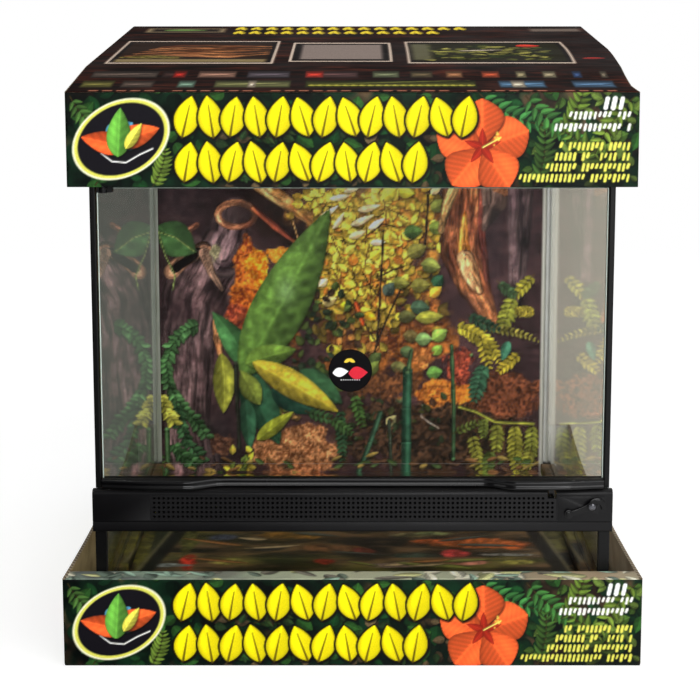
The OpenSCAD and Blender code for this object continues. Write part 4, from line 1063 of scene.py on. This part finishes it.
def carton_front(left, right, low, high, cell, seed, top=None):
    """The picture on a carton's front: yellow leaves in two rows, a ring badge and an orange flower."""
    wide, tall = right - left, high - low
    sheet = Print((left, low), (right, top or high), cell, (16, 26, 18))
    rng = np.random.default_rng(seed)
    u = lambda share: left + share * wide
    v = lambda share: low + share * tall
    tone = cloud(sheet.x, sheet.z, 26, seed, contrast=2.4)
    warm = cloud(sheet.x, sheet.z, 40, seed + 1, contrast=3.0)
    sheet.ink = blend(tone, (4, 10, 8), (14, 50, 30))
    sheet.lay(..., (warm - 0.62) * 3, blend(tone, (30, 22, 16), (96, 80, 58)))
    thicket(sheet, (left, low), (right, high), 260, (9, 20),
            [(6, 24, 14), (12, 42, 24), (20, 60, 30), (40, 84, 36)], rng)
    thicket(sheet, (u(0.24), low), (u(0.74), v(0.6)), 90, (6, 13), [(50, 42, 30), (92, 80, 58), (36, 60, 34)], rng)
    thicket(sheet, (u(0.80), low), (right, high), 70, (7, 14), [(30, 56, 28), (64, 96, 40), (96, 124, 56)], rng)
    for share, height, turn, length, reach, colour in (
            (0.01, 0.95, 5.2, 46, 11, (70, 112, 52)), (0.05, 0.02, 0.9, 40, 10, (46, 92, 42)),
            (0.15, 0.0, 1.0, 34, 10, (104, 136, 52)), (0.72, 0.98, 5.6, 62, 13, (60, 128, 66)),
            (0.80, 0.96, 5.4, 60, 13, (64, 124, 60)), (0.86, 0.55, 0.9, 50, 12, (96, 128, 48)),
            (0.96, 0.1, 2.2, 60, 13, (92, 128, 50)), (0.82, 0.02, 1.2, 48, 12, (62, 100, 44)),
            (0.99, 0.95, 3.9, 60, 12, (108, 138, 54)), (0.33, 0.5, 0.2, 50, 10, (40, 60, 30))):
        frond(sheet, (u(share), v(height)), turn, length, reach, colour, rng, pairs=9)
    shade(sheet, (u(0.92), v(0.1)), (34, 16), 0.6)
    sheet.ink *= (0.92, 0.88, 0.84)

    # Orange flower
    heart, petal = np.array((u(0.727), v(0.42))), 0.51 * tall
    for turn in (0.35, 1.6, 2.8, 4.05, 5.3):
        leaf(sheet, heart, turn, petal, petal * 0.9, (226, 92, 44), full=1.35, veins=9, shadow=0.6, lit=0.12)
    for turn in (0.35, 1.6, 2.8, 4.05, 5.3):
        leaf(sheet, heart, turn, petal * 0.4, petal * 0.16, (160, 40, 24), full=0.6, veins=0, shadow=0, lit=0)
    cane(sheet, [heart, heart + (0.18 * tall, 0.10 * tall)], 2.0, (246, 214, 110))
    for k in range(12):
        shade(sheet, heart + np.array((0.14, 0.09)) * tall + rng.normal(0, 0.03 * tall, 2), (0.9, 0.9), 0.9,
              (252, 226, 90))

    # Two rows of yellow leaves with dark rims and dark midribs
    for level, count, first, last in ((0.74, 13, 0.192, 0.716), (0.265, 11, 0.192, 0.630)):
        for k in range(count):
            middle = u(first + (last - first) * (k + 0.5) / count)
            lean = math.pi / 2 + (0.24 if k % 2 else -0.24) + rng.uniform(-0.12, 0.12)
            way, length = np.array((math.cos(lean), math.sin(lean))), tall * rng.uniform(0.41, 0.445)
            foot = np.array((middle, v(level))) - way * length / 2
            leaf(sheet, foot - way * 1.4, lean, length + 3, tall * 0.30, (22, 14, 8), full=0.85, veins=0,
                 shadow=0.6, lit=0)
            leaf(sheet, foot, lean, length, tall * 0.258, np.array((252, 235, 12)) * rng.uniform(0.94, 1.0),
                 full=0.85, veins=0, shadow=0, lit=0.02)
            stroke(sheet, [foot, foot + way * length * 0.78], (2.2, 0.8), (84, 70, 8), thick=0.9)

    # Ring badge with a plain sprig: two orange leaves, a green one between them and a pale stem
    centre, radii, tilt = np.array((u(0.0967), v(0.504))), (0.543 * tall, 0.393 * tall), 0.5
    where = sheet.near([centre], 0.56 * tall)
    x, z = sheet.x[where] - centre[0], sheet.z[where] - centre[1]
    a, b = x * math.cos(tilt) + z * math.sin(tilt), z * math.cos(tilt) - x * math.sin(tilt)
    reach = (1 - np.hypot(a / radii[0], b / radii[1])) * radii[1]
    sheet.lay(where, reach + 0.5, (244, 242, 206))
    sheet.lay(where, reach - 1.0, (226, 224, 92))
    sheet.lay(where, reach - 3.2, (20, 18, 24))
    cane(sheet, [centre + spot for spot in ((-17, -12), (-8, -19), (4, -20), (16, -13), (27, -8))], 1.8,
         (236, 236, 230))
    for dx, dz, turn, size, fat, colour in (
            (-6, -6, 0.9, 26, 30, (74, 140, 170)), (5, -7, 2.92, 40, 20, (228, 88, 40)),
            (-5, -3, 0.32, 40, 20, (232, 94, 42)), (-3, -15, 1.5, 42, 21, (96, 160, 60)),
            (4, -8, 1.0, 26, 10, (214, 206, 76))):
        leaf(sheet, centre + (dx, dz), turn, size, fat, colour, veins=5, shadow=0.5)

    # Rows of short slanted strokes that end flush on the right
    for level, first, tall_stroke, wide_stroke, colour in (
            (0.881, 0.926, 10.0, 4.0, (252, 252, 250)), (0.753, 0.868, 6.0, 2.6, (248, 248, 242)),
            (0.629, 0.845, 5.6, 2.6, (248, 248, 242)), (0.430, 0.856, 6.2, 2.4, (238, 232, 96)),
            (0.321, 0.843, 6.2, 2.4, (238, 232, 96)), (0.208, 0.827, 6.2, 2.4, (238, 232, 96)),
            (0.096, 0.785, 6.2, 2.4, (238, 232, 96))):
        step = wide_stroke * 1.6
        for k in range(int((0.982 - first) * wide / step)):
            if rng.random() > 0.14:
                end = np.array((u(0.982) - step * k, v(level) + tall_stroke / 2 - wide_stroke / 4))
                foot = end - (0.16 * tall_stroke, (tall_stroke - wide_stroke / 2) * rng.choice((0.55, 1.0, 1.0)))
                stroke(sheet, [foot, end], wide_stroke * rng.uniform(0.75, 1.15), colour, 0.7)
    return sheet


# Tray: the lower carton's floor and four low walls. The front rim is folded over and hangs inside the
# wall, and the open side walls lean in a little at the middle. Their liner is brown, with painted light: paler to
# the back and lighter on the right, darker on the left.
tray_w, tray_d, tray_h, rim_depth, hem_low = 513.0, 505.0, 81.0, 21.5, 31.0
tray_x, tray_y, tray_lean = tray_w / 2, tray_d / 2, 7.5


def tray_seat(x, y, z):
    """The tray's side walls sag inwards at the middle of their upper edge."""
    lean = tray_lean * np.clip(z / tray_h, 0, 1) * np.clip(1 - (y / tray_y) ** 2, 0, 1)
    return x - x / tray_x * lean, y + 0 * x, z + 0 * x


def reflection_washed_leaves(low, high, cell):
    """The print on the folded rim: leaves on grey green, washed pale by a painted reflection of the bright studio.
    """
    sheet = Print(low, high, cell, (104, 122, 110))
    rng = np.random.default_rng(77)
    tone = cloud(sheet.x, sheet.z, 30, 71, contrast=3.0)
    sheet.ink = blend(tone, (104, 110, 106), (156, 180, 156))
    # Two painted glows of reflected light along the rim.
    shade(sheet, (0, 10), (120, 60), 0.85, (206, 206, 172))
    shade(sheet, (200, 10), (90, 60), 0.85, (204, 176, 140))
    for k in range(80):
        spot = (rng.uniform(low[0], high[0]), rng.uniform(low[1], high[1]))
        leaf(sheet, spot, rng.uniform(0, 6.28), rng.uniform(14, 40), rng.uniform(6, 14),
             [(150, 176, 156), (196, 196, 140), (120, 116, 104), (212, 208, 184), (98, 112, 100)][k % 5],
             shadow=0.2)
    return sheet


# Painted light on the liner: the right side much lighter than the left, and a grey tone to the back that is pale on
# the right.
liner, tree, shader = finish("liner_with_painted_light", Roughness=0.85, Specular_IOR_Level=0.2)
place = here(tree)
deep = ranged(tree, component(tree, place, 1), -80 * mm, 20 * mm)
right = ranged(tree, component(tree, place, 0), -100 * mm, 100 * mm)
pulp = noise(tree, place, 45.0, 6.0)
near = mix_colour(tree, pulp, (0.16, 0.11, 0.04, 1), (0.66, 0.50, 0.26, 1))
lit_right_liner = mix_colour(tree, pulp, (0.50, 0.35, 0.22, 1), (0.95, 0.80, 0.62, 1))
near = mix_colour(tree, right, near, lit_right_liner)
shaded_far_liner = mix_colour(tree, pulp, (0.24, 0.26, 0.21, 1), (0.42, 0.43, 0.36, 1))
lit_far_liner = mix_colour(tree, pulp, (0.80, 0.78, 0.70, 1), (0.95, 0.93, 0.86, 1))
far = mix_colour(tree, right, shaded_far_liner, lit_far_liner)
feed(shader, "Base Color", mix_colour(tree, deep, near, far))
walls, painted_light_walls, brown_walls = ([face, back, cut_edge] for face, back in (
    (wall_print, kraft), (wall_print, liner), (kraft, kraft)))


def board_panel(name, art, seat, finishes, folds, solid=False):
    """A panel of printed board, on the carton that its name begins with."""
    carton = "bottom_tray" if name.startswith("tray") else "top_cap"
    sheet_of(name, art, board, seat, finishes, carton, folds, solid)


art = carton_front(-tray_x, tray_x, 0, tray_h, (0.8, 0.8), 5)
board_panel("tray_front_panel", art, lambda u, v, w: (u, -tray_y - w, v), walls, "left right low high")
art = carton_front(-tray_x, tray_x, 0, tray_h, (1.3, 1.3), 6)
board_panel("tray_back_panel", art, lambda u, v, w: (-u, tray_y + w, v), painted_light_walls, "left right low")
for side, name in ((1, "right"), (-1, "left")):
    art = carton_front(-tray_y, tray_y, 0, tray_h, (2.0, 1.6), 7)
    board_panel("tray_%s_panel" % name, art, lambda u, v, w: tray_seat(side * (tray_x + w), side * u, v),
                painted_light_walls, "left right low", solid=True)
plain = Print((-tray_x, -tray_y), (tray_x, tray_y), (40, 40), (150, 120, 80))
board_panel("tray_floor_panel", plain, lambda u, v, w: (u, -v, -w), brown_walls, "left right low high")
art = reflection_washed_leaves((-tray_x + board, 0), (tray_x - board, rim_depth), (1.2, 1.2))
board_panel("tray_rim_fold", art, lambda u, v, w: tray_seat(u, v - tray_y, tray_h + w), walls, "low high")
plain = Print((-tray_x + board + 1, hem_low), (tray_x - board - 1, tray_h), (8, 5), (120, 110, 90))
board_panel("tray_rim_hem", plain, lambda u, v, w: (-u, rim_depth - tray_y + w, v), brown_walls, "high")


# Cap: the upper carton, open below. Its top panel is creased near the front and rises to the back, and
# the right wall is pinched in at the front and bulges at the back.
cap_w, cap_d, cap_low, cap_high = 491.0, 485.0, 429.0, 511.0
cap_x, cap_y, crease_y, crease_rise = cap_w / 2, cap_d / 2, -120.5, 13.0
back_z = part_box("top_cap")[1].z / mm
bulge, pinch = 10.8, 5.5


def cap_level(y):
    """Height of the cap's top panel along its depth."""
    rear = cap_high + crease_rise + (back_z - cap_high - crease_rise) * (y - crease_y) / (cap_y - crease_y)
    return np.where(y < crease_y, cap_high + crease_rise * (y + cap_y) / (crease_y + cap_y), rear)


def cap_seat(x, y, z):
    """The cap's right wall is pinched in behind its front corner and bulges at its upper rear corner."""
    run = np.clip((y + cap_y) / 270, 0, 1)
    away = bulge * run * run * (3 - 2 * run) - pinch * (1 - run) * np.clip((y + cap_y) / 30, 0, 1)
    return x + np.clip(x / cap_x, 0, 1) * away * np.clip((z - cap_low) / (back_z - cap_low), 0,
                       1), y + 0 * x, z + 0 * x


def cap_wall(u, v, y):
    """Height on a wall of the cap: the rows above the picture close up where the panel is low."""
    return np.where(v < 500, v, 500 + (v - 500) * (cap_level(y) - 500) / (back_z - 500))


def cap_picture(low, high, cell):
    """The print on the cap's top: wood ground, three framed panels, rows of swatches and a leaf band."""
    sheet = Print(low, high, cell, (34, 20, 16))
    rng = np.random.default_rng(91)
    grain = cloud(sheet.x / 9, sheet.z, 3.0, 81, contrast=2.8)
    blots = cloud(sheet.x / 2, sheet.z, 30, 82, contrast=2.2)
    sheet.ink = blend(grain, (11, 6, 5), (50, 23, 17))
    sheet.lay(..., (blots - 0.5) * 2, blend(grain, (24, 11, 8), (90, 44, 31)))

    def bar(x0, x1, z0, z1, colour, soft=1.0):
        where = sheet.near([(x0, z0), (x1, z1)], 3)
        x, z = sheet.x[where], sheet.z[where]
        edge = np.minimum(np.minimum(x - x0, x1 - x), np.minimum(z - z0, z1 - z))
        sheet.lay(where, edge / soft + 0.5, colour)

    for x0, x1, z0, z1, ground in (
            (-231, -74, -100, 90, (44, 30, 22)), (-60, 37, -86, 74, (30, 26, 28)),
            (51, 206, -98, 84, (36, 36, 18))):
        bar(x0, x1, z0, z1, (228, 224, 220))
        bar(x0 + 2.6, x1 - 2.6, z0 + 7, z1 - 7, (22, 16, 16))
        bar(x0 + 7, x1 - 7, z0 + 16, z1 - 16, ground, 3)
    bar(-50, 28, -66, 56, (150, 146, 148), 4)
    bar(-224, -82, -88, -66, (150, 142, 104), 5)
    for k in range(5):
        limb(sheet, [(-216 + 6 * k, -40 + 18 * k), (-170, -30 + 20 * k), (-120, -44 + 22 * k), (-84, -24 + 16 * k)],
             (10, 26 - 3 * k, 22, 8), (80, 44, 24), (204, 146, 98), 83 + k)
    moss(sheet, (-190, -50), (30, 12), (66, 62, 22), (140, 134, 70), 4, 94)
    thicket(sheet, (68, -62), (190, 50), 90, (10, 22),
            [(40, 54, 22), (70, 80, 32), (104, 112, 50), (140, 146, 76)], rng)
    bar(56, 74, -70, 60, (104, 110, 88), 8)
    leaf(sheet, (158, 44), 0.1, 24, 26, (206, 62, 46), veins=0)
    leaf(sheet, (100, 2), 0.2, 44, 8, (206, 206, 196), veins=0)
    leaf(sheet, (214, -60), 0.1, 22, 16, (150, 48, 46), veins=0)

    # Two rows of swatches: from x to x, then the colour
    for z0, z1, row in (
            (-178, -146, ((-233, -174, (84, 78, 76)), (-170, -147, (62, 46, 46)), (-160, -149, (176, 50, 44)),
            (-138, -104, (146, 118, 108)), (-94, -56, (86, 84, 98)), (-42, 5, (86, 66, 70)),
            (-42, -26, (196, 62, 52)), (18, 42, (108, 124, 100)), (52, 72, (96, 90, 70)),
            (84, 99, (158, 118, 88)), (116, 132, (178, 86, 60)), (147, 156, (160, 160, 130)),
            (171, 183, (156, 156, 134)), (198, 206, (62, 92, 150)), (223, 229, (126, 124, 112)))), (-224, -192,
            ((-236, -208, (104, 108, 62)), (-201, -173, (88, 80, 76)), (-152, -137, (112, 152, 142)),
            (-120, -54, (112, 122, 84)), (-91, -84, (214, 214, 200)), (-41, 109, (74, 82, 40)),
            (129, 170, (86, 130, 176)), (140, 152, (206, 210, 200)), (194, 231, (78, 116, 160))))):
        for x0, x1, colour in row:
            bar(x0, x1, z0, z1, np.array(colour) * 0.55, 1.5)
            bar(x0 + 1.5, x1 - 1.5, z0 + 6, z1 - 9, np.array(colour), 3)
            leaf(sheet, (x0 + 2, z0 + 12), 0.15, x1 - x0 - 4, 8, np.array(colour) * 1.2, veins=0, shadow=0.5)
    for k in range(20):
        leaf(sheet, (-38 + 7.3 * k, -216), 0.5, 8, 9, (158, 166, 72), veins=0, shadow=0.4)
    for k in range(38):
        if k % 7 != 5:
            bar(-226 + 12 * k, -226 + 12 * k + 8.5, -239.5, -235.0, (176, 120, 100))

    # Leaf band, an oval and a bar along the back
    for level, count, last in ((200, 30, 126), (158, 26, 96)):
        for k in range(count):
            x = -126 + (last + 126) * k / count
            leaf(sheet, (x, level), math.pi / 2 + (0.12 if k % 2 else -0.12), 34, 8.5, (224, 214, 62), veins=0,
                 shadow=0.4)
    bar(-224, -139, 176, 216, (168, 160, 132), 6)
    bar(-218, -145, 182, 210, (40, 34, 30), 8)
    leaf(sheet, (-206, 196), 0.05, 48, 20, (106, 150, 84), veins=0)
    bar(186, 238, 186, 214, (124, 116, 112), 6)
    sheet.ink *= (0.94, 0.86, 0.79)
    return sheet


art = carton_front(-cap_x, cap_x, cap_low, cap_high, (0.78, 0.78), 5)
board_panel("cap_front_panel", art, lambda u, v, w: (u, -cap_y - w, v), walls, "left right high")
art = carton_front(-cap_x, cap_x, cap_low, cap_high, (1.3, 1.3), 6, top=back_z)
board_panel("cap_back_panel", art, lambda u, v, w: cap_seat(-u, cap_y + w, v), walls, "left right high", solid=True)
for side, name in ((1, "right"), (-1, "left")):
    art = carton_front(-cap_y, cap_y, cap_low, cap_high, (2.0, 1.8), 7, top=back_z)
    board_panel("cap_%s_panel" % name, art,
                lambda u, v, w: cap_seat(side * (cap_x + w), side * u, cap_wall(u, v, side * u)), walls,
                "left right high", solid=True)
for name, front, back, cell, folds in (
        ("front", -cap_y, crease_y, (1.2, 2.0), "left right low"),
        ("rear", crease_y, cap_y, (1.2, 1.9), "left right high")):
    board_panel("cap_top_%s_panel" % name, cap_picture((-cap_x, front), (cap_x, back), cell),
                lambda u, v, w: cap_seat(u, v, cap_level(v) + w), [top_print, kraft, cut_edge], folds)


# Sticker: a round vinyl label on the door's outside, black with a white, a red and two yellow leaves.
label_x, label_z, label_r, door_front, vinyl_thick = -1.9, 264.0, 19.2, -228.65, 0.15
label = Print((-label_r, -label_r), (label_r, label_r), (0.32, 0.32), (10, 9, 11))
s, t = label.x / label_r, label.z / label_r
label.x, label.z = label.x * np.sqrt(1 - t * t / 2), label.z * np.sqrt(1 - s * s / 2)
for x, z, turn, size, fat, colour in (
        (-15.5, -2.2, 0.12, 14, 0.30, (250, 250, 250)), (-1.5, -2.6, 0.06, 17, 0.34, (214, 44, 60)),
        (-5.5, 7.4, 0.5, 8, 0.2, (236, 206, 70)), (4.2, 7.6, 2.7, 8, 0.2, (236, 206, 70))):
    off_x, off_z = label.x - x, label.z - z
    along = (off_x * math.cos(turn) + off_z * math.sin(turn)) / size
    off = off_z * math.cos(turn) - off_x * math.sin(turn)
    half = fat * size * np.sin(math.pi * np.clip(along, 0, 1) ** 0.8)
    label.lay(..., np.where((along > 0) & (along < 1), half - abs(off), -1) / 0.4 + 0.5, colour)
for k in range(9):
    spot = np.hypot(label.x + 8 - 2.0 * k, label.z + 8.4)
    label.lay(..., (0.55 - spot) / 0.4 + 0.5, (236, 236, 236))
vinyl = printed("vinyl_label", 0.22)
door_label = sheet_of("door_label", label, vinyl_thick, lambda u, v, w: (label_x + u, door_front - w, label_z + v),
                      [vinyl] * 3, None)
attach(door_label, "door")
